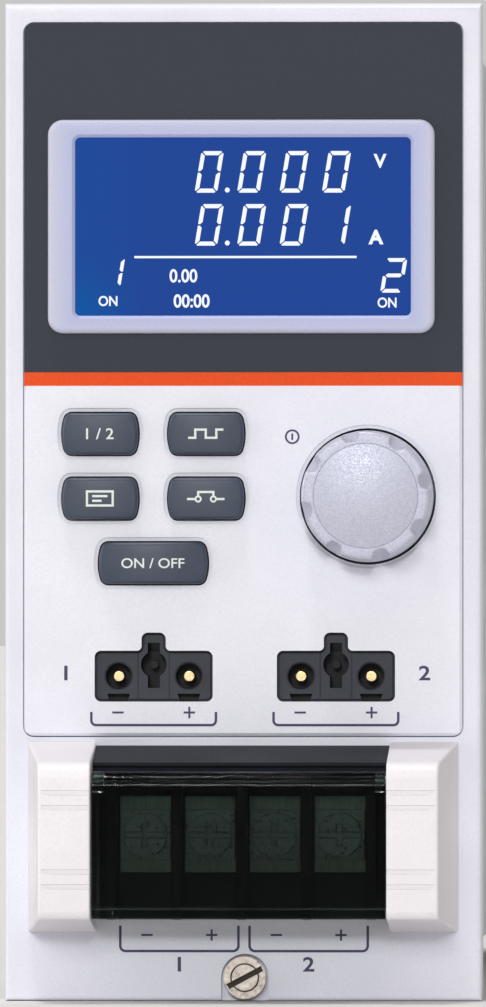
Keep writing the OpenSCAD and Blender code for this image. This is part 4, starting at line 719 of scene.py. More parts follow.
def softened(name: str, node: str, width_mm: float, corner_deg: float = 40.0) -> bpy.types.Object:
    """Copies a CAD node's mesh, merges it and rounds its edges.

    Args:
        name: Name of the piece.
        node: CAD node that is copied.
        width_mm: Width of the rounding, or none where it is zero.
        corner_deg: Edges that bend more than this are rounded.

    Returns:
        The rounded copy.
    """
    work = bmesh.new()
    work.from_mesh(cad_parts[node].data)
    bmesh.ops.scale(work, vec=(1 / MM,) * 3, verts=work.verts)
    bmesh.ops.remove_doubles(work, verts=work.verts, dist=0.001)
    flat = math.radians(0.5)
    bmesh.ops.dissolve_limit(work, angle_limit=flat, verts=work.verts, edges=work.edges)
    if width_mm:
        sharp = math.radians(corner_deg)
        edges = [edge for edge in work.edges if edge.is_manifold and edge.calc_face_angle() > sharp]
        bmesh.ops.bevel(
            work,
            geom=edges,
            offset=width_mm,
            segments=2,
            profile=0.5,
            affect="EDGES",
            clamp_overlap=True,
        )
    return as_piece(name, work)


def dress(
    piece: bpy.types.Object,
    finish: Finish,
    body: str = "root",
    replaced: Iterable[str] = (),
) -> bpy.types.Object:
    """Gives a piece its finish and its body, and reports it.

    Args:
        piece: Piece to dress.
        finish: Its finish.
        body: CAD body it moves with.
        replaced: CAD nodes it stands for.

    Returns:
        The piece.
    """
    piece.data.materials.clear()
    piece.data.materials.append(finish.material())
    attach(piece, body)
    if replaced:
        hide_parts(*replaced)
    LOG.info("%s: %d faces on %s", piece.name, len(piece.data.polygons), body)
    return piece


def dress_copy(node: str, finish: Finish, width_mm: float, body: str = "root") -> bpy.types.Object:
    """Puts a rounded, dressed copy in a CAD node's place.

    Args:
        node: CAD node.
        finish: Finish of the copy.
        width_mm: Width of its rounded edges.
        body: Body it moves with.

    Returns:
        The copy.
    """
    return dress(softened(f"{node}_shell", node, width_mm), finish, body, (node,))


def dress_node(node: str, finish: Finish) -> None:
    """Gives a CAD node that keeps its own mesh its finish.

    Args:
        node: CAD node.
        finish: Its finish.
    """
    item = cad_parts[node]
    for place in item.material_slots:
        place.link = "OBJECT"
        place.material = finish.material()
    LOG.info("%s: keeps its mesh", node)


def arc(
    middle: Point, radius: float, start_deg: float, end_deg: float, steps: int
) -> list[tuple[Point, Point]]:
    """Points along an arc, each with its outward direction.

    Args:
        middle: Middle of the arc.
        radius: Its radius.
        start_deg: Angle of its first point.
        end_deg: Angle of its last point.
        steps: Number of stretches.

    Returns:
        Pairs of a point and a direction.
    """
    made = []
    for i in range(steps + 1):
        angle = math.radians(start_deg + (end_deg - start_deg) * i / steps)
        out = (math.cos(angle), math.sin(angle))
        made.append(((middle[0] + radius * out[0], middle[1] + radius * out[1]), out))
    return made


def rounded_ring(middle: Point, size: Point, radius: float, depth: float, steps: int = 8) -> list[Vector]:
    """Ring of points along a rounded rectangle on a plane of the front.

    Args:
        middle: Side place and height of its middle.
        size: Width and height.
        radius: Corner radius.
        depth: Depth of the plane.
        steps: Stretches in each corner.

    Returns:
        Points in millimetres, anticlockwise seen from the front.
    """
    half_w, half_h = size[0] / 2 - radius, size[1] / 2 - radius
    ring = []
    for turn, (side, up) in enumerate(((1, 1), (-1, 1), (-1, -1), (1, -1))):
        corner = (middle[0] + side * half_w, middle[1] + up * half_h)
        for (x, z), _ in arc(corner, radius, 90 * turn, 90 * turn + 90, steps):
            ring.append(Vector((x, depth, z)))
    return ring


# Print


PRINT_T = 0.03


def stroke(path: Sequence[Point], width: float, closed: bool = False) -> list[Polygon]:
    """Widens a path into a band of mitred quads.

    Args:
        path: Points along the middle of the band.
        width: Width of the band.
        closed: Joins the last point to the first.

    Returns:
        The quads.
    """
    count = len(path)
    sides = []
    for i, (x, z) in enumerate(path):
        before = path[i - 1] if i or closed else path[i]
        after = path[(i + 1) % count] if i + 1 < count or closed else path[i]
        first = Vector((x - before[0], z - before[1]))
        second = Vector((after[0] - x, after[1] - z))
        first = first if first.length else second
        second = second if second.length else first
        across = (first.normalized() + second.normalized()).normalized()
        normal = Vector((-across.y, across.x))
        reach = width / 2 / max(0.3, across.dot(first.normalized()))
        shift_x, shift_z = normal.x * reach, normal.y * reach
        sides.append(((x + shift_x, z + shift_z), (x - shift_x, z - shift_z)))
    last = count if closed else count - 1
    quads = []
    for i in range(last):
        here, there = sides[i], sides[(i + 1) % count]
        quads.append([here[0], here[1], there[1], there[0]])
    return quads


def fine(path: Sequence[Point], closed: bool = False, step: float = 0.5) -> list[Point]:
    """Adds points along a path, so that a stroke on it can follow a curved surface.

    Args:
        path: Points of the path.
        closed: Joins the last point to the first.
        step: Longest stretch that is left.

    Returns:
        The path with more points.
    """
    ends = list(path[1:]) + ([path[0]] if closed else [])
    made = []
    for (x0, z0), (x1, z1) in zip(path, ends):
        count = max(1, math.ceil(math.dist((x0, z0), (x1, z1)) / step))
        made += [(x0 + (x1 - x0) * i / count, z0 + (z1 - z0) * i / count) for i in range(count)]
    return made if closed else made + [path[-1]]


def circle(middle: Point, radius: float, steps: int = 32) -> Polygon:
    """Points round a circle."""
    return [point for point, _ in arc(middle, radius, 0, 360, steps)][:-1]


def lettering(
    text: str, height: float, middle: Point, spread: float = 1.0, weight: float = 0.0
) -> list[Polygon]:
    """Lays plain generic characters out as flat polygons.

    Args:
        text: Characters to set.
        height: Height of the line in millimetres.
        middle: Middle of the line.
        spread: Widening of the characters.
        weight: Extra width of their strokes, as a share of the height.

    Returns:
        Polygons in millimetres.
    """
    curve = bpy.data.curves.new("lettering", "FONT")
    curve.body = text
    curve.fill_mode = "FRONT"
    curve.offset = weight
    holder = bpy.data.objects.new("lettering", curve)
    bpy.context.scene.collection.objects.link(holder)
    graph = bpy.context.evaluated_depsgraph_get()
    flat = bpy.data.meshes.new_from_object(holder.evaluated_get(graph))
    xs = [vertex.co.x for vertex in flat.vertices]
    zs = [vertex.co.y for vertex in flat.vertices]
    scale = height / (max(zs) - min(zs))
    mid_x, mid_z = (min(xs) + max(xs)) / 2, (min(zs) + max(zs)) / 2
    points = [
        (middle[0] + (v.co.x - mid_x) * scale * spread, middle[1] + (v.co.y - mid_z) * scale)
        for v in flat.vertices
    ]
    polygons = [[points[i] for i in face.vertices] for face in flat.polygons]
    bpy.data.objects.remove(holder)
    bpy.data.curves.remove(curve)
    bpy.data.meshes.remove(flat)
    return polygons


def print_piece(
    name: str,
    polygons: Iterable[Polygon],
    surface: Callable[[float, float], float],
    thickness: float = PRINT_T,
) -> bpy.types.Object:
    """Makes a thin closed layer of polygons on a surface of the front.

    Args:
        name: Name of the piece.
        polygons: Outlines as side place and height.
        surface: Depth of the surface at a side place and height.
        thickness: How far the layer stands proud.

    Returns:
        The layer.
    """
    work = bmesh.new()
    for polygon in polygons:
        work.faces.new([work.verts.new((x, surface(x, z) - thickness, z)) for x, z in polygon])
    bmesh.ops.remove_doubles(work, verts=work.verts, dist=0.002)
    made = bmesh.ops.extrude_face_region(work, geom=work.faces[:])
    backs = [item for item in made["geom"] if isinstance(item, bmesh.types.BMVert)]
    bmesh.ops.translate(work, vec=(0.0, thickness + 0.01, 0.0), verts=backs)
    bmesh.ops.recalc_face_normals(work, faces=work.faces)
    return as_piece(name, work)


class Sign(Enum):
    """Polarity of a terminal."""

    MINUS = "minus"
    PLUS = "plus"

    def polygons(self, middle: Point, size: float, width: float) -> list[Polygon]:
        """Draws the sign.

        Args:
            middle: Middle of the sign.
            size: Length of its bars.
            width: Width of its bars.

        Returns:
            Its bars.
        """
        x, z = middle
        bars = stroke([(x - size / 2, z), (x + size / 2, z)], width)
        if self is Sign.PLUS:
            bars += stroke([(x, z + width / 2), (x, z + size / 2)], width)
            bars += stroke([(x, z - size / 2), (x, z - width / 2)], width)
        return bars


def bracket(
    left: float, right: float, tip_z: float, line_z: float, radius: float, width: float
) -> list[Polygon]:
    """Draws the rounded bracket that joins a pair of contacts.

    Args:
        left: Side place of its left leg.
        right: Side place of its right leg.
        tip_z: Height of its tips.
        line_z: Height of its line.
        radius: Radius of its corners.
        width: Width of its line.

    Returns:
        Quads along the bracket.
    """
    path = [(left, tip_z)]
    path += [point for point, _ in arc((left + radius, line_z + radius), radius, 180, 270, 6)]
    path += [point for point, _ in arc((right - radius, line_z + radius), radius, 270, 360, 6)]
    path.append((right, tip_z))
    return stroke(path, width)


# Sub-assemblies


@dataclass
class FrontShell:
    """White frame and fascia, with the dark overlay and the print on them."""

    line: float = 0.43
    sign: float = 1.95
    sense_tip_z: float = 49.3
    sense_line_z: float = 47.05
    sense_half: float = 10.65
    sense_sign_x: float = 6.1
    load_tip_z: float = 12.8
    load_line_z: float = 8.45
    load_sign_z: float = 11.2
    load_half: float = 10.1
    numeral: float = 2.5

    def build(self) -> None:
        """Makes the shells and prints the marks."""
        dress_copy("front_frame", FRAME_ABS, 0.3)
        dress_copy("fascia_plate", FASCIA_ABS, 0.12)
        dress_copy("display_overlay", OVERLAY_FILM, 0.0)
        self.print_sense_marks()
        self.print_terminal_marks()
        self.print_power_mark()

    def print_sense_marks(self) -> None:
        """Prints brackets, signs and channel numbers round the sense sockets."""
        face = node_box("fascia_plate")[0].y
        marks = []
        for number, side, number_x in (("1", "left", -30.3), ("2", "right", 31.0)):
            x = node_middle(f"sense_socket_{side}").x
            marks += bracket(
                x - self.sense_half, x + self.sense_half, self.sense_tip_z, self.sense_line_z, 0.8, self.line
            )
            marks += Sign.MINUS.polygons((x - self.sense_sign_x, self.sense_tip_z - 0.1), self.sign, 0.35)
            marks += Sign.PLUS.polygons((x + self.sense_sign_x, self.sense_tip_z - 0.1), self.sign, 0.35)
            marks += lettering(number, self.numeral, (number_x, 55.95), 1.2, 0.02)
        dress(print_piece("sense_marks", marks, lambda x, z: face), DARK_INK)

    def print_terminal_marks(self) -> None:
        """Prints brackets, signs and channel numbers under the terminals."""
        face = FRAME_FACE
        places = [node_middle(f"terminal_screw_{i}").x for i in (1, 2, 3, 4)]
        marks = []
        for number, pair in (("1", places[:2]), ("2", places[2:])):
            x = sum(pair) / 2
            marks += bracket(
                x - self.load_half, x + self.load_half, self.load_tip_z, self.load_line_z, 0.9, self.line
            )
            marks += Sign.MINUS.polygons((pair[0], self.load_sign_z), self.sign, 0.35)
            marks += Sign.PLUS.polygons((pair[1], self.load_sign_z), self.sign, 0.35)
            marks += lettering(number, self.numeral, (x, 6.2), 1.2, 0.02)
        dress(print_piece("terminal_marks", marks, lambda x, z: face), DARK_INK)

    def print_power_mark(self) -> None:
        """Prints the on and off symbol beside the keys: a ring with a bar in it."""
        face = node_box("fascia_plate")[0].y
        middle = (8.4, 96.3)
        marks = stroke(circle(middle, 1.1), 0.32, True)
        marks += stroke([(middle[0], middle[1] - 0.55), (middle[0], middle[1] + 0.55)], 0.32)
        dress(print_piece("power_mark", marks, lambda x, z: face), DARK_INK)


class Segment(Enum):
    """Shape of a segment of a figure, drawn at the figure's upper left."""

    BAR = "bar"
    POST = "post"
    MIDDLE = "middle"

    def outline(self, size: Point, thick: float, gap: float) -> Polygon:
        """Draws the segment with mitred ends.

        Args:
            size: Width and height of the figure.
            thick: Width of the segment.
            gap: Gap that is left at each of its ends.

        Returns:
            Its outline, from the figure's lower left corner.
        """
        wide, tall = size
        half, waist, cut = thick / 2, tall / 2, thick * 0.45
        if self is Segment.BAR:
            low, tip = tall - thick, tall - cut / 2
            left = [(cut / 2 + gap, tip), (cut + gap, tall)]
            right = [(wide - cut - gap, tall), (wide - cut / 2 - gap, tip)]
            return [*left, *right, (wide - thick - gap, low), (thick + gap, low)]
        if self is Segment.POST:
            outer = [(0, tall - cut - gap), (cut / 2, tall - cut / 2 - gap)]
            inner = [(thick, tall - thick - gap), (thick, waist + half + gap)]
            return [*outer, *inner, (half, waist + gap), (0, waist + gap)]
        left, right = thick + gap, wide - thick - gap
        upper = [(left, waist + half), (right, waist + half)]
        lower = [(right, waist - half), (left, waist - half)]
        return [(half + gap, waist), *upper, (wide - half - gap, waist), *lower]


# Each segment's shape, and whether it is turned over to the right or to the foot
SEGMENTS = {
    "a": (Segment.BAR, False, False),
    "b": (Segment.POST, True, False),
    "c": (Segment.POST, True, True),
    "d": (Segment.BAR, False, True),
    "e": (Segment.POST, False, True),
    "f": (Segment.POST, False, False),
    "g": (Segment.MIDDLE, False, False),
}
LIT = {"0": "abcdef", "1": "bc", "2": "abged"}


@dataclass
class DisplayUnit:
    """Frosted bezel, backlit glass and the figures it shows."""

    bezel_size: Point = (66.1, 36.5)
    bezel_r: float = 2.6
    bezel_edge: float = 0.9
    window_r: float = 0.9
    window_slope: float = 0.5
    digit_size: Point = (3.85, 7.1)
    digit_pitch: float = 7.25
    digit_stroke: float = 0.7
    digit_gap: float = 0.14
    digit_slant_deg: float = 9.5
    row_x: float = -8.3
    row_z: tuple[float, float] = (138.0, 128.95)

    def build(self) -> None:
        """Makes the bezel, the glass and the figures."""
        self.bezel()
        dress_copy("lcd_glass", DISPLAY_GLASS, 0.0)
        dress_node("lcd_backlight", BACKLIGHT_PLASTIC)
        dress_node("display_board", CIRCUIT_BOARD)
        self.figures()

    def bezel(self) -> None:
        """Lofts the bezel's rounded frame from its back, over its front, into the window."""
        low, high = node_box("display_bezel")
        middle = ((low.x + high.x) / 2, (low.z + high.z) / 2)
        edge = self.bezel_edge
        wide, tall = self.bezel_size
        rings = [rounded_ring(middle, self.bezel_size, self.bezel_r, high.y)]
        for i in range(7):
            angle = math.radians(15 * i)
            inset = edge * (1 - math.cos(angle))
            depth = low.y + edge * (1 - math.sin(angle))
            size = (wide - 2 * inset, tall - 2 * inset)
            rings.append(rounded_ring(middle, size, self.bezel_r - inset, depth))
        slope = self.window_slope
        outer = (WINDOW_SIZE[0] + 2 * slope, WINDOW_SIZE[1] + 2 * slope)
        glass = node_box("lcd_glass")[0].y
        rings.append(rounded_ring(WINDOW_MIDDLE, outer, self.window_r + slope, low.y))
        rings.append(rounded_ring(WINDOW_MIDDLE, WINDOW_SIZE, self.window_r, low.y + slope))
        rings.append(rounded_ring(WINDOW_MIDDLE, WINDOW_SIZE, self.window_r, glass))
        dress(as_piece("display_bezel_shell", skin(rings, True)), BEZEL_ACRYLIC, "root", ("display_bezel",))

    def digit(self, figure: str, left: float, foot: float, size: Point) -> list[Polygon]:
        """Draws a seven-segment figure.

        Args:
            figure: Figure to show.
            left: Side place of its left edge.
            foot: Height of its foot.
            size: Width and height.

        Returns:
            One polygon for each lit segment.
        """
        wide, tall = size
        thick = self.digit_stroke * (tall / self.digit_size[1]) ** 0.5
        lean = math.tan(math.radians(self.digit_slant_deg))
        polygons = []
        for name in LIT[figure]:
            shape, to_right, to_foot = SEGMENTS[name]
            points = shape.outline(size, thick, self.digit_gap)
            points = [(wide - x if to_right else x, tall - z if to_foot else z) for x, z in points]
            polygons.append([(left + x + z * lean, foot + z) for x, z in points])
        return polygons

    def figures(self) -> None:
        """Shows two rows of figures with their units, and the state of both channels."""
        glass = node_box("lcd_glass")[0].y
        marks = []
        for foot, text in zip(self.row_z, ("0000", "0001")):
            for i, figure in enumerate(text):
                marks += self.digit(figure, self.row_x + i * self.digit_pitch, foot, self.digit_size)
            marks.append(circle((self.row_x + 5.6, foot + 0.45), 0.42, 16))
        marks += lettering("V", 2.4, (23.4, 143.4), 1.0, 0.03)
        marks += lettering("A", 2.5, (22.7, 130.4), 1.0, 0.04)
        marks += stroke([(-18.6, 127.0), (19.4, 127.0)], 0.38)
        marks += self.digit("1", -24.3, 121.9, (3.3, 5.0))
        marks += self.digit("2", 23.4, 120.9, (3.7, 5.9))
        marks += lettering("ON", 1.75, (-23.1, 119.5), 0.9, 0.02)
        marks += lettering("ON", 1.75, (24.6, 119.2), 0.9, 0.02)
        marks += lettering("0.00", 2.3, (-10.2, 123.8), 0.9, 0.02)
        marks += lettering("00:00", 2.3, (-8.8, 119.5), 0.9, 0.02)
        dress(print_piece("display_figures", marks, lambda x, z: glass), LIT_SEGMENT)


class Legend(Enum):
    """What is printed on a key: a plain sign of what it does."""

    CHANNEL = "channel"
    MODE = "mode"
    DISPLAY = "display"
    SHORT = "short"
    LOAD = "load"

    def polygons(self, middle: Point) -> list[Polygon]:
        """Draws the legend.

        Args:
            middle: Middle of the key.

        Returns:
            Its polygons.
        """
        x, z = middle
        line = 0.38
        if self is Legend.CHANNEL:
            return lettering("1 / 2", 1.9, middle, 1.1, 0.01)
        if self is Legend.LOAD:
            return lettering("ON / OFF", 1.7, middle, 1.1, 0.01)
        if self is Legend.MODE:
            low, high, turn, end = -0.7, 0.7, 1.8, 3.0
            first = ((-end, low), (-turn, low), (-turn, high), (0, high))
            steps = (*first, (0, low), (turn, low), (turn, high), (end, high))
            return stroke(fine([(x + u, z + v) for u, v in steps]), line)
        if self is Legend.DISPLAY:
            corners = ((-2.2, -1.2), (2.2, -1.2), (2.2, 1.2), (-2.2, 1.2))
            screen = stroke(fine([(x + u, z + v) for u, v in corners], True), line, True)
            for v, reach in ((0.4, 1.3), (-0.4, 0.3)):
                screen += stroke(fine([(x - 1.3, z + v), (x + reach, z + v)]), line)
            return screen
        arch = ((-1.3, 0.5), (-1.3, 1.1), (1.3, 1.1), (1.3, 0.5))
        bridge = stroke(fine([(x + u, z + v) for u, v in arch]), line)
        for side in (-1, 1):
            bridge += stroke(circle((x + side * 1.3, z - 0.1), 0.45, 20), 0.3, True)
            bridge += stroke(fine([(x + side * 1.9, z - 0.1), (x + side * 3.2, z - 0.1)]), line)
        return bridge


@dataclass
class KeyCap:
    """Rubber key with bulging ends, a rounded edge and a crowned top."""

    legend: Legend
    width: float = 13.0
    height: float = 7.1
    end_r: float = 9.3
    corner_r: float = 1.3
    edge_r: float = 0.6
    crown_r: float = 40.0
    sink: float = 2.6

    def outline(self) -> list[tuple[Point, Point]]:
        """Points round the key, each with its outward direction.

        Returns:
            Pairs of a point and a direction, anticlockwise from its right end.
        """
        reach = self.width / 2 - self.end_r
        level = self.height / 2 - self.corner_r
        inner = self.end_r - self.corner_r
        open_deg = math.degrees(math.asin(level / inner))
        corner_x = reach + math.sqrt(inner ** 2 - level ** 2)
        right = arc((reach, 0), self.end_r, -open_deg, open_deg, 10)
        right += arc((corner_x, level), self.corner_r, open_deg, 90, 6)[1:]
        top = [((corner_x * (1 - i / 6), self.height / 2), (0.0, 1.0)) for i in range(1, 12)]
        left = [((-p[0], -p[1]), (-n[0], -n[1])) for p, n in right]
        foot = [((-p[0], -p[1]), (-n[0], -n[1])) for p, n in top]
        first = arc((corner_x, -level), self.corner_r, -90, -open_deg, 6)[:-1]
        last = [((-p[0], -p[1]), (-n[0], -n[1])) for p, n in first]
        return right + top + last + left + foot + first

    def build(self) -> None:
        """Makes the cap and its legend, and dresses the plunger behind it."""
        name = self.legend.value
        node = f"{name}_key"
        low, _ = node_box(node)
        middle = node_middle(node)

        def crown(x: float, z: float) -> float:
            """Depth of the crowned top at a place."""
            away = (x - middle.x) ** 2 + (z - middle.z) ** 2
            return low.y + self.crown_r - math.sqrt(self.crown_r ** 2 - away)

        outline = self.outline()

        def ring(inset: float, drop: float, share: float = 1.0) -> list[Vector]:
            """Ring of the cap, drawn in by an inset and below the crown by a drop."""
            points = []
            for (x, z), (out_x, out_z) in outline:
                px = middle.x + (x - inset * out_x) * share
                pz = middle.z + (z - inset * out_z) * share
                points.append(Vector((px, crown(px, pz) + drop, pz)))
            return points

        edge = self.edge_r
        rings = [ring(0.0, edge + self.sink)]
        for i in range(7):
            angle = math.radians(15 * i)
            rings.append(ring(edge * (1 - math.cos(angle)), edge * (1 - math.sin(angle))))
        rings += [ring(edge, 0.0, share) for share in (0.8, 0.6, 0.4, 0.2, 0.04)]
        dress(as_piece(f"{node}_cap", skin(rings)), KEY_RUBBER, node, (node,))
        marks = print_piece(f"{node}_legend", self.legend.polygons((middle.x, middle.z)), crown)
        dress(marks, PALE_INK, node)
        dress_node(f"{name}_plunger", SWITCH_PLASTIC)


@dataclass
class Knob:
    """Fluted knob on its encoder: a crowned disc in a rim with eight finger scoops."""

    radius: float = 11.25
    rim_r: float = 11.0
    disc_r: float = 8.95
    crown: float = 0.8
    edge_r: float = 0.8
    flutes: int = 8
    flute_turn_deg: float = 14.0
    flute_r: float = 1.5
    flute_depth: float = 1.65
    flute_soft: float = 0.12
    flute_from: float = 1.6
    steps: int = 256

    def side(self, angle: float, height: float, top: float) -> float:
        """Radius of the knob's side, with the flute cut into it.

        Args:
            angle: Angle round the axis.
            height: Height over the fascia.
            top: Height of the rim.

        Returns:
            The radius.
        """
        share = min(1.0, max(0.0, height / top))
        plain = self.radius + (self.rim_r - self.radius) * share
        pitch = math.tau / self.flutes
        away = (angle - math.radians(self.flute_turn_deg) + pitch / 2) % pitch - pitch / 2
        deep = self.flute_depth * max(0.0, (height - self.flute_from) / (top - self.flute_from))
        across = plain * math.sin(away)
        if deep <= 0 or abs(across) >= self.flute_r:
            return plain
        cut = plain * math.cos(away) - deep + self.flute_r - math.sqrt(self.flute_r ** 2 - across ** 2)
        soft, apart = self.flute_soft, plain - cut
        blend = (plain + cut - math.sqrt(apart ** 2 + soft ** 2)) / 2
        return blend + soft / 2 * math.exp(-apart ** 2)

    def build(self) -> None:
        """Lofts the knob from its skirt to the middle of its disc, and dresses the encoder."""
        low, high = node_box("knob")
        axis = node_middle("knob")
        face = node_box("fascia_plate")[0].y
        rim = face - low.y - self.crown
        angles = [math.tau * i / self.steps for i in range(self.steps)]

        def ring(radius: Callable[[float], float], height: Callable[[float], float]) -> list[Vector]:
            """Ring of the knob from its radius and height at each angle."""
            points = []
            for angle in angles:
                r = radius(angle)
                points.append(
                    Vector((axis.x + r * math.cos(angle), face - height(r), axis.z + r * math.sin(angle)))
                )
            return points

        def edge(angle: float) -> float:
            """Rounding of the rim's edge, less where a flute leaves little room."""
            return min(self.edge_r, 0.75 * (self.side(angle, rim, rim) - self.disc_r))

        base = face - high.y
        levels = [base] + [rim * i / 24 for i in range(24)]
        rings = [ring(lambda a, h=h: self.side(a, h, rim), lambda r, h=h: h) for h in levels if h < rim - 0.9]
        for i in range(9):
            turn = math.radians(90 * i / 8)
            points = []
            for angle in angles:
                soft = edge(angle)
                r = self.side(angle, rim - soft, rim) - soft * (1 - math.cos(turn))
                h = rim - soft * (1 - math.sin(turn))
                points.append(Vector((axis.x + r * math.cos(angle), face - h, axis.z + r * math.sin(angle))))
            rings.append(points)
        rings.append(ring(lambda a: self.disc_r + 0.05, lambda r: rim))
        rings.append(ring(lambda a: self.disc_r, lambda r: rim - 0.12))
        rings.append(ring(lambda a: self.disc_r - 0.06, lambda r: rim - 0.12))
        for share in (0.985, 0.96, 0.9, 0.8, 0.7, 0.6, 0.5, 0.4, 0.3, 0.2, 0.1, 0.02):
            rise = rim + self.crown * (1 - share ** 2)
            rings.append(ring(lambda a, s=share: self.disc_r * s, lambda r, h=rise: h))
        dress(as_piece("knob_shell", skin(rings), 40.0), KNOB_PAINT, "knob", ("knob",))
        dress_node("encoder_shaft", SCREW_STEEL)
        dress_node("encoder_plunger", SWITCH_PLASTIC)
        dress_node("encoder_body", SWITCH_PLASTIC)
        dress_node("tact_switches", SWITCH_PLASTIC)


@dataclass
class SenseSockets:
    """Two keyed sense sockets and their contacts."""

    edge: float = 0.05

    def build(self) -> None:
        """Rounds and dresses the sockets and the contacts."""
        for side in ("left", "right"):
            dress_copy(f"sense_socket_{side}", SOCKET_PLASTIC, self.edge)
        dress_copy("sense_contacts", CONTACT_GOLD, 0.15)


@dataclass
class Cheek:
    """White cheek beside the terminals: drafted all round, grooved in front, with a finger dish outside."""

    side: str
    inner_edge: float = 0.35
    outer_edge: float = 0.45
    top_r: float = 3.0
    foot_r: float = 1.5
    top_draft: float = 3.5
    foot_draft: float = 2.6
    side_draft: float = 2.9
    grooves: tuple[float, ...] = (8.1, 10.6, 21.5, 24.0)
    groove_w: float = 0.95
    groove_d: float = 0.35
    groove_wall: float = 0.12
    groove_end: float = 0.6
    groove_run: float = 1.2
    dish_r: float = 11.5
    dish_d: float = 1.0

    def profile(self, low_z: float, high_z: float, depth: float, groove: float) -> list[tuple[Point, Point]]:
        """Goes round the cheek seen from the side.

        Args:
            low_z: Height of its foot at the panel.
            high_z: Height of its top at the panel.
            depth: How far it stands out.
            groove: Depth of the grooves in its front.

        Returns:
            Pairs of a place, as depth and height, and an outward direction.
        """
        foot_deg = math.degrees(math.atan2(self.foot_draft, depth))
        top_deg = math.degrees(math.atan2(self.top_draft, depth))
        foot_run = self.foot_r * math.tan(math.radians(45 - foot_deg / 2))
        top_run = self.top_r * math.tan(math.radians(45 - top_deg / 2))
        foot_middle = (depth - self.foot_r, low_z + self.foot_draft + foot_run)
        foot_arc = arc(foot_middle, self.foot_r, foot_deg - 90, 0, 8)
        top_middle = (depth - self.top_r, high_z - self.top_draft - top_run)
        top_arc = arc(top_middle, self.top_r, 0, 90 - top_deg, 12)
        points = []
        (bend_d, bend_z), down = foot_arc[0]
        points += [((bend_d * i / 8, low_z + (bend_z - low_z) * i / 8), down) for i in range(8)]
        points += foot_arc
        half, wall = self.groove_w / 2, self.groove_wall
        for middle in self.grooves:
            for rise, cut in ((-half, 0.0), (wall - half, groove), (half - wall, groove), (half, 0.0)):
                points.append(((depth - cut, low_z + middle + rise), (1.0, 0.0)))
        points += top_arc
        (bend_d, bend_z), up = top_arc[-1]
        points += [((bend_d * (1 - i / 8), bend_z + (high_z - bend_z) * i / 8), up) for i in range(1, 9)]
        points += [((0.0, high_z + (low_z - high_z) * i / 8), (0.0, 0.0)) for i in range(1, 8)]
        return points

    def build(self) -> None:
        """Lofts the cheek from its inner side to the middle of its dish and dresses it."""
        node = f"terminal_cheek_{self.side}"
        low, high = node_box(node)
        depth = FRAME_FACE - low.y
        out = 1 if self.side == "right" else -1
        inner_x = low.x if out > 0 else high.x
        wide = high.x - low.x
        grooved = self.profile(low.z, high.z, depth, self.groove_d)
        plain = self.profile(low.z, high.z, depth, 0.0)

        def outside(d: float) -> float:
            """Distance of the drafted outer side from the inner one at a depth."""
            return wide - self.side_draft * d / depth

        def ring(
            points: list[tuple[Point, Point]], inset: float, reach: Callable[[float], float]
        ) -> list[Vector]:
            """Ring of the cheek, drawn in by an inset, at a reach from its inner side."""
            made = []
            for (d, z), (out_d, out_z) in points:
                ahead = max(0.0, d - inset * out_d)
                made.append(Vector((inner_x + out * reach(ahead), FRAME_FACE - ahead, z - inset * out_z)))
            return made

        rings = []
        for i in range(6, -1, -1):
            angle = math.radians(15 * i)
            reach = self.inner_edge * (1 - math.sin(angle))
            rings.append(ring(grooved, self.inner_edge * (1 - math.cos(angle)), lambda d, u=reach: u))
        end = wide - self.side_draft - self.groove_end
        rings.append(ring(grooved, 0.0, lambda d: end - self.groove_run))
        rings.append(ring(plain, 0.0, lambda d: end))
        for i in range(7):
            angle = math.radians(15 * i)
            back = self.outer_edge * (1 - math.sin(angle))
            inset = self.outer_edge * (1 - math.cos(angle))
            rings.append(ring(plain, inset, lambda d, u=back: outside(d) - u))

        mid_d, mid_z = depth / 2, (low.z + high.z) / 2
        ball_r = (self.dish_r ** 2 + self.dish_d ** 2) / (2 * self.dish_d)
        for share in (1.0, 0.985, 0.96, 0.9, 0.8, 0.7, 0.6, 0.5, 0.4, 0.3, 0.2, 0.1, 0.03):
            radius = self.dish_r * share
            sunk = math.sqrt(ball_r ** 2 - radius ** 2) - (ball_r - self.dish_d)
            circled = []
            for point in rings[-1]:
                angle = math.atan2(point.z - mid_z, FRAME_FACE - point.y - mid_d)
                d, z = mid_d + radius * math.cos(angle), mid_z + radius * math.sin(angle)
                circled.append(Vector((inner_x + out * (outside(d) - sunk), FRAME_FACE - d, z)))
            rings.append(circled)
        dress(as_piece(f"{node}_shell", skin(rings), 30.0), CHEEK_ABS, "root", (node,))


@dataclass
class TerminalBay:
    """Terminal block with its bars, screws and washers, under the hood and behind the door."""

    terminals: int = 4

    def build(self) -> None:
        """Makes the cheeks and dresses what lies between them."""
        for side in ("left", "right"):
            Cheek(side).build()
        dress_copy("terminal_block", BLOCK_PLASTIC, 0.15)
        dress_copy("terminal_bars", BAR_TIN, 0.15)
        dress_copy("terminal_hood", HOOD_PLASTIC, 0.15)
        dress_copy("terminal_door", DOOR_SMOKE, 0.3, "terminal_door")
        dress_node("door_pins", SCREW_STEEL)
        dress_node("cheek_screws", SCREW_STEEL)
        for i in range(1, self.terminals + 1):
            dress_copy(f"terminal_screw_{i}", SCREW_STEEL, 0.25, f"terminal_screw_{i}")
            dress_copy(f"clamp_washer_{i}", SCREW_STEEL, 0.2, f"clamp_washer_{i}")


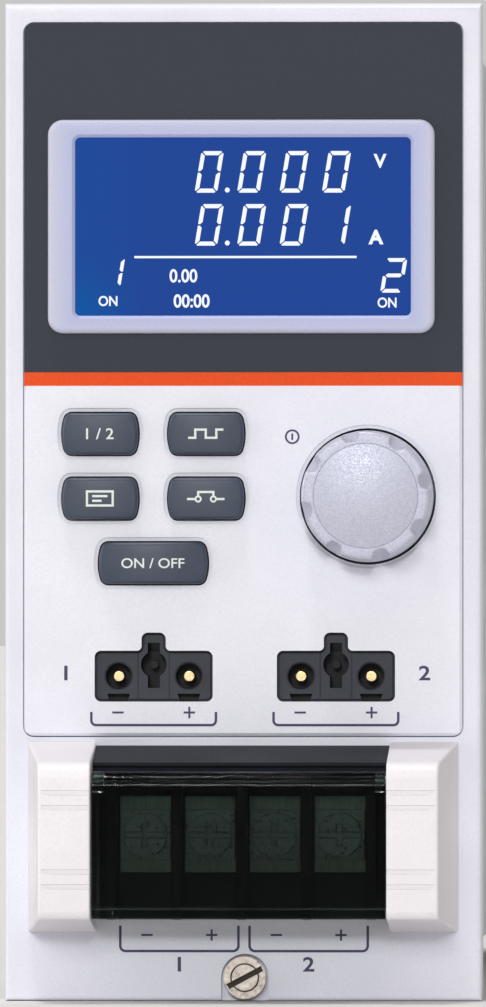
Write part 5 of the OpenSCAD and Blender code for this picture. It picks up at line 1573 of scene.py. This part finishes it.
@dataclass
class CaptiveScrew:
    """Slotted captive screw at the foot of the frame."""

    edge: float = 0.1
    slot_turn_deg: float = 28.0
    slot_w: float = 0.96
    slot_d: float = 1.1
    slot_half: float = 3.3
    ring_r: float = 2.35
    ring_w: float = 0.24
    ring_d: float = 0.3

    def build(self) -> None:
        """Rounds and dresses the screw, lays dark sheets of painted shade in its slot and ring groove, and
        dresses its slip washer.
        """
        dress_copy("captive_screw", CAPTIVE_NICKEL, self.edge, "captive_screw")
        low, _ = node_box("captive_screw")
        axis = node_middle("captive_screw")
        middle = (axis.x, axis.z)
        turn = math.radians(self.slot_turn_deg)
        reach_x, reach_z = self.slot_half * math.cos(turn), self.slot_half * math.sin(turn)
        ends = [(axis.x + s * reach_x, axis.z + s * reach_z) for s in (-1, 1)]
        # Painted shade: a dark sheet on the slot's floor, and one in the ring groove
        slot = print_piece("captive_slot_grime", stroke(ends, self.slot_w), lambda x, z: low.y + self.slot_d)
        dress(slot, SLOT_SHADE, "captive_screw")
        rim = stroke(circle(middle, self.ring_r, 64), self.ring_w, True)
        ring = print_piece("captive_ring_grime", rim, lambda x, z: low.y + self.ring_d)
        dress(ring, SLOT_SHADE, "captive_screw")
        dress_node("captive_washer", SCREW_STEEL)


@dataclass
class Repeater:
    """Geometry Nodes tree that sets one item on many points, each turned by chance about its axis."""

    name: str
    seed: int = 7

    def tree(self) -> bpy.types.NodeTree:
        """Builds the tree, once for all repeaters.

        Returns:
            The tree, with named inputs for the item, its largest turn, its finish and the seed.
        """
        ready = bpy.data.node_groups.get("item_on_points")
        if ready:
            return ready
        tree = bpy.data.node_groups.new("item_on_points", "GeometryNodeTree")
        for label, kind in (
            ("Points", "NodeSocketGeometry"),
            ("Item", "NodeSocketObject"),
            ("Largest Turn", "NodeSocketVector"),
            ("Finish", "NodeSocketMaterial"),
            ("Seed", "NodeSocketInt"),
        ):
            tree.interface.new_socket(label, in_out="INPUT", socket_type=kind)
        tree.interface.new_socket("Pieces", in_out="OUTPUT", socket_type="NodeSocketGeometry")
        given = add_node(tree, "NodeGroupInput").outputs
        item = add_node(tree, "GeometryNodeObjectInfo", {}, {"Object": given["Item"]})
        points = add_node(tree, "GeometryNodeMeshToPoints", {}, {"Mesh": given["Points"]})
        chance = {1: given["Largest Turn"], "Seed": given["Seed"]}
        turn = add_node(tree, "FunctionNodeRandomValue", {0: (0.0,) * 3}, chance, data_type="FLOAT_VECTOR")
        spread = {
            "Points": points.outputs[0],
            "Instance": item.outputs["Geometry"],
            "Rotation": turn.outputs[0],
        }
        placed = add_node(tree, "GeometryNodeInstanceOnPoints", {}, spread)
        solid = add_node(tree, "GeometryNodeRealizeInstances", {}, {"Geometry": placed.outputs[0]})
        coat = {"Geometry": solid.outputs[0], "Material": given["Finish"]}
        coated = add_node(tree, "GeometryNodeSetMaterial", {}, coat)
        add_node(tree, "NodeGroupOutput", {}, {0: coated.outputs[0]})
        return tree

    def build(
        self, item: bpy.types.Object, places: Sequence[Vector], turn: Vector, finish: Finish
    ) -> bpy.types.Object:
        """Sets the item on each place and uses it up.

        Args:
            item: Item about the origin, in metres.
            places: Places in millimetres.
            turn: Largest turn about X, Y and Z.
            finish: Finish of the item.

        Returns:
            One piece of all the items.
        """
        mesh = bpy.data.meshes.new(self.name)
        mesh.from_pydata([place * MM for place in places], [], [])
        piece = bpy.data.objects.new(self.name, mesh)
        bpy.context.scene.collection.objects.link(piece)
        change = piece.modifiers.new("item_on_points", "NODES")
        change.node_group = self.tree()
        given = {"Item": item, "Largest Turn": turn, "Finish": finish.material(), "Seed": self.seed}
        for socket in change.node_group.interface.items_tree:
            if socket.name in given:
                change[socket.identifier] = given[socket.name]
        settled(piece)
        bpy.data.objects.remove(item)
        return piece


@dataclass
class PanScrew:
    """Pan-head screw with a cross recess, its axis along one of the part's axes."""

    head_r: float
    head_h: float
    shank_r: float
    shank_l: float
    axis: int
    arm_w: float = 0.75
    arm_l: float = 1.5
    recess: float = 1.0
    dome_in: float = 0.38
    rim_share: float = 0.35
    steps: int = 72

    def recess_edge(self, angle: float) -> float:
        """Distance from the axis to the edge of the cross recess at an angle."""
        across, along = abs(math.sin(angle)), abs(math.cos(angle))
        small, large = min(across, along), max(across, along)
        half, arm = self.arm_w / 2, self.arm_l / large
        if small > half / self.arm_l * large:
            return min(arm, half / small)
        return arm

    def item(self) -> bpy.types.Object:
        """Lofts the screw from the end of its shank to the floor of its recess.

        Returns:
            The screw about the origin, with its seat there and its head along the axis.
        """
        angles = [math.tau * i / self.steps for i in range(self.steps)]
        head, tall = self.head_r, self.head_h

        def ring(radius: Callable[[float], float], height: float) -> list[Vector]:
            """Ring round the axis at a height over the seat."""
            made = []
            for angle in angles:
                point = [radius(angle) * math.cos(angle), radius(angle) * math.sin(angle)]
                point.insert(self.axis, height)
                made.append(Vector(point))
            return made

        rings = [ring(lambda a: self.shank_r * 0.8, -self.shank_l)]
        rings.append(ring(lambda a: self.shank_r, 0.3 - self.shank_l))
        rings.append(ring(lambda a: self.shank_r, 0.0))
        rings.append(ring(lambda a: head, 0.0))
        for i in range(7):
            turn = math.radians(15 * i)
            reach = head * (1 - self.dome_in * (1 - math.cos(turn)))
            height = tall * (self.rim_share + (1 - self.rim_share) * math.sin(turn))
            rings.append(ring(lambda a, r=reach: r, height))
        rings.append(ring(self.recess_edge, tall))
        rings.append(ring(lambda a: 0.7 * self.recess_edge(a), tall - self.recess))
        rings.append(ring(lambda a: 0.05, tall - self.recess * 1.1))
        return as_piece("pan_screw", skin(rings), 30.0)

    def replace(self, node: str, finish: Finish) -> None:
        """Puts screws in the place of a CAD node's solids.

        Args:
            node: CAD node of the screws.
            finish: Their finish.
        """
        places = []
        for low, high in islands(node):
            place = (low + high) / 2
            place[self.axis] = high[self.axis] - self.head_h
            places.append(place)
        turn = Vector((0.0, 0.0, 0.0))
        turn[self.axis] = math.tau
        piece = Repeater(f"{node}_heads").build(self.item(), places, turn, finish)
        dress(piece, finish, "root", (node,))


@dataclass
class Chassis:
    """Sheet-metal chassis with the power stage inside it."""

    edge: float = 0.15
    contact_w: float = 0.64
    contact_l: float = 4.5
    contact_sink: float = 1.0
    contact_rows: int = 3
    contact_ways: int = 16
    contact_pitch: float = 2.54

    def build(self) -> None:
        """Rounds the sheets and dresses the pieces inside."""
        dress_copy("chassis_tray", SHEET_STEEL, self.edge)
        dress_copy("side_cover", SHEET_STEEL, self.edge)
        PanScrew(2.7, 1.6, 1.6, 4.6, 0).replace("cover_screws", SCREW_STEEL)
        for node in ("panel_screws", "board_screws"):
            dress_node(node, SCREW_STEEL)
        dress_node("board_standoffs", STANDOFF_BRASS)
        dress_node("power_board", CIRCUIT_BOARD)
        dress_node("heat_sinks", SINK_ALUMINIUM)
        dress_node("power_transistors", PACKAGE_EPOXY)
        dress_node("current_shunts", SHUNT_ALLOY)
        dress_node("filter_capacitors", CAN_SLEEVE)
        dress_node("board_link", FLAT_CABLE)
        dress_copy("backplane_connector", CONNECTOR_PLASTIC, self.edge / 2)
        self.rear_contacts()

    def rear_contacts(self) -> None:
        """Sets a plated contact in each slot of the rear connector."""
        low, high = node_box("backplane_connector")
        middle = (low + high) / 2
        work = bmesh.new()
        bmesh.ops.create_cube(work, size=1.0)
        bmesh.ops.scale(work, vec=(self.contact_w, self.contact_l, self.contact_w), verts=work.verts)
        item = as_piece("contact", work)
        places = []
        for row in range(self.contact_rows):
            x = middle.x + (row - (self.contact_rows - 1) / 2) * self.contact_pitch
            for way in range(self.contact_ways):
                z = middle.z + (way - (self.contact_ways - 1) / 2) * self.contact_pitch
                places.append(Vector((x, high.y - self.contact_sink - self.contact_l / 2, z)))
        still = Vector((0.0, 0.0, 0.0))
        dress(Repeater("rear_contacts").build(item, places, still, CONTACT_GOLD), CONTACT_GOLD)


@dataclass
class FanUnit:
    """Axial fan on the rear wall with its wire guard."""

    edge: float = 0.3

    def build(self) -> None:
        """Rounds and dresses the fan."""
        dress_copy("fan_frame", FAN_PLASTIC, self.edge)
        dress_copy("fan_rotor", FAN_PLASTIC, 0.2, "fan_rotor")
        dress_copy("fan_guard", SCREW_STEEL, 0.0)
        PanScrew(3.6, 1.9, 2.1, 14.0, 1, 0.9, 2.0, 1.2).replace("fan_screws", SCREW_STEEL)


# Studio


@dataclass(frozen=True)
class Sun:
    """Even lamp: the direction towards it, how wide and strong it is, and whether gloss shows it."""

    name: str
    towards: tuple[float, float, float]
    angle_deg: float
    strength: float
    mirrored: bool = True


STUDIO_SUNS = (
    Sun("main_sun", (0.035, -0.985, 0.17), angle_deg=4.0, strength=0.76, mirrored=False),
    Sun("front_sun", (-0.07, -0.967, 0.245), angle_deg=10.0, strength=0.62),
    Sun("left_sun", (-0.97, -0.1, 0.22), angle_deg=50.0, strength=1.1),
    Sun("top_sun", (-0.1, -0.16, 0.98), angle_deg=8.0, strength=1.2),
)


@dataclass
class Studio:
    """Pale floor, soft light from all round and a long lens in front of the panel."""

    image: tuple[int, int] = (486, 1007)
    pixels_per_mm: float = 5.854
    lens_mm: float = 600.0
    sensor_mm: float = 36.0
    azimuth_deg: float = 2.0
    elevation_deg: float = -0.4
    aim_x: float = -0.03
    aim_z: float = 84.9
    floor_m: float = 80.0
    ambient: float = 0.45
    backdrop: float = 0.6

    def build(self) -> None:
        """Sets the camera, the light and the floor."""
        scene = bpy.context.scene
        scene.view_settings.view_transform = "Standard"
        self.camera(scene)
        for lamp in STUDIO_SUNS:
            self.sun(lamp)
        self.world(scene)
        self.floor()

    def camera(self, scene: bpy.types.Scene) -> None:
        """Puts the camera where the panel fills the image at its scale.

        Args:
            scene: Scene that gets the camera.
        """
        lens = bpy.data.cameras.new("camera")
        lens.lens = self.lens_mm
        lens.sensor_width = self.sensor_mm
        lens.clip_end = 100.0
        seen_mm = self.image[1] / self.pixels_per_mm
        distance = self.lens_mm * seen_mm / self.sensor_mm
        turn, rise = math.radians(self.azimuth_deg), math.radians(self.elevation_deg)
        away = Vector((math.sin(turn) * math.cos(rise), -math.cos(turn) * math.cos(rise), math.sin(rise)))
        aim = Vector((self.aim_x, FRAME_FACE, self.aim_z))
        holder = bpy.data.objects.new("camera", lens)
        holder.location = (aim + away * distance) * MM
        holder.rotation_euler = (-away).to_track_quat("-Z", "Y").to_euler()
        scene.collection.objects.link(holder)
        scene.camera = holder

    def sun(self, kind: Sun) -> None:
        """Adds an even lamp.

        Args:
            kind: What the lamp is.
        """
        lamp = bpy.data.lights.new(kind.name, "SUN")
        lamp.energy = kind.strength
        lamp.angle = math.radians(kind.angle_deg)
        holder = bpy.data.objects.new(kind.name, lamp)
        holder.rotation_euler = Vector(kind.towards).to_track_quat("Z", "Y").to_euler()
        holder.visible_glossy = kind.mirrored
        bpy.context.scene.collection.objects.link(holder)

    def world(self, scene: bpy.types.Scene) -> None:
        """Gives even fill light, and a pale backdrop to what the camera, gloss and glass see.

        Args:
            scene: Scene that gets the world.
        """
        world = bpy.data.worlds.new("studio")
        scene.world = world
        world.use_nodes = True
        tree = world.node_tree
        tree.nodes.clear()
        path = add_node(tree, "ShaderNodeLightPath").outputs
        pair = {0: path["Is Camera Ray"], 1: path["Is Glossy Ray"]}
        seen = add_node(tree, MATH, {}, pair, operation="MAXIMUM")
        pair = {0: seen.outputs[0], 1: path["Is Transmission Ray"]}
        seen = add_node(tree, MATH, {}, pair, operation="MAXIMUM")
        fill = add_node(tree, "ShaderNodeBackground", {"Color": linear("#FFF9F3"), "Strength": self.ambient})
        wall = add_node(tree, "ShaderNodeBackground", {"Color": linear("#FBFAF8"), "Strength": self.backdrop})
        links = {0: seen.outputs[0], 1: fill.outputs[0], 2: wall.outputs[0]}
        mixed = add_node(tree, "ShaderNodeMixShader", {}, links)
        add_node(tree, "ShaderNodeOutputWorld", {}, {"Surface": mixed.outputs[0]})

    def floor(self) -> None:
        """Lays a wide pale floor under the module."""
        half = self.floor_m / 2
        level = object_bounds()[0].z - 0.1 * MM
        mesh = bpy.data.meshes.new("floor")
        corners = [(-half, -half, level), (half, -half, level), (half, half, level), (-half, half, level)]
        mesh.from_pydata(corners, [], [(0, 1, 2, 3)])
        finish = MouldedPlastic("paper_backdrop_matt", "", "#E4E3E1", 0.9, "#E1E0DE", 400.0, 3.0)
        mesh.materials.append(finish.material())
        piece = bpy.data.objects.new("floor", mesh)
        bpy.context.scene.collection.objects.link(piece)
        piece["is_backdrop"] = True


def main() -> None:
    """Builds the sub-assemblies in order, then the studio."""
    logging.basicConfig(level=logging.INFO, format="%(name)s: %(message)s")
    keys = [KeyCap(legend, 18.6 if legend is Legend.LOAD else 13.0) for legend in Legend]
    assemblies = [FrontShell(), DisplayUnit(), *keys, Knob(), SenseSockets(), TerminalBay(), CaptiveScrew()]
    assemblies += [Chassis(), FanUnit(), Studio()]
    for assembly in assemblies:
        assembly.build()
        LOG.info("%s is built", type(assembly).__name__)


if __name__ == "__main__":
    main()
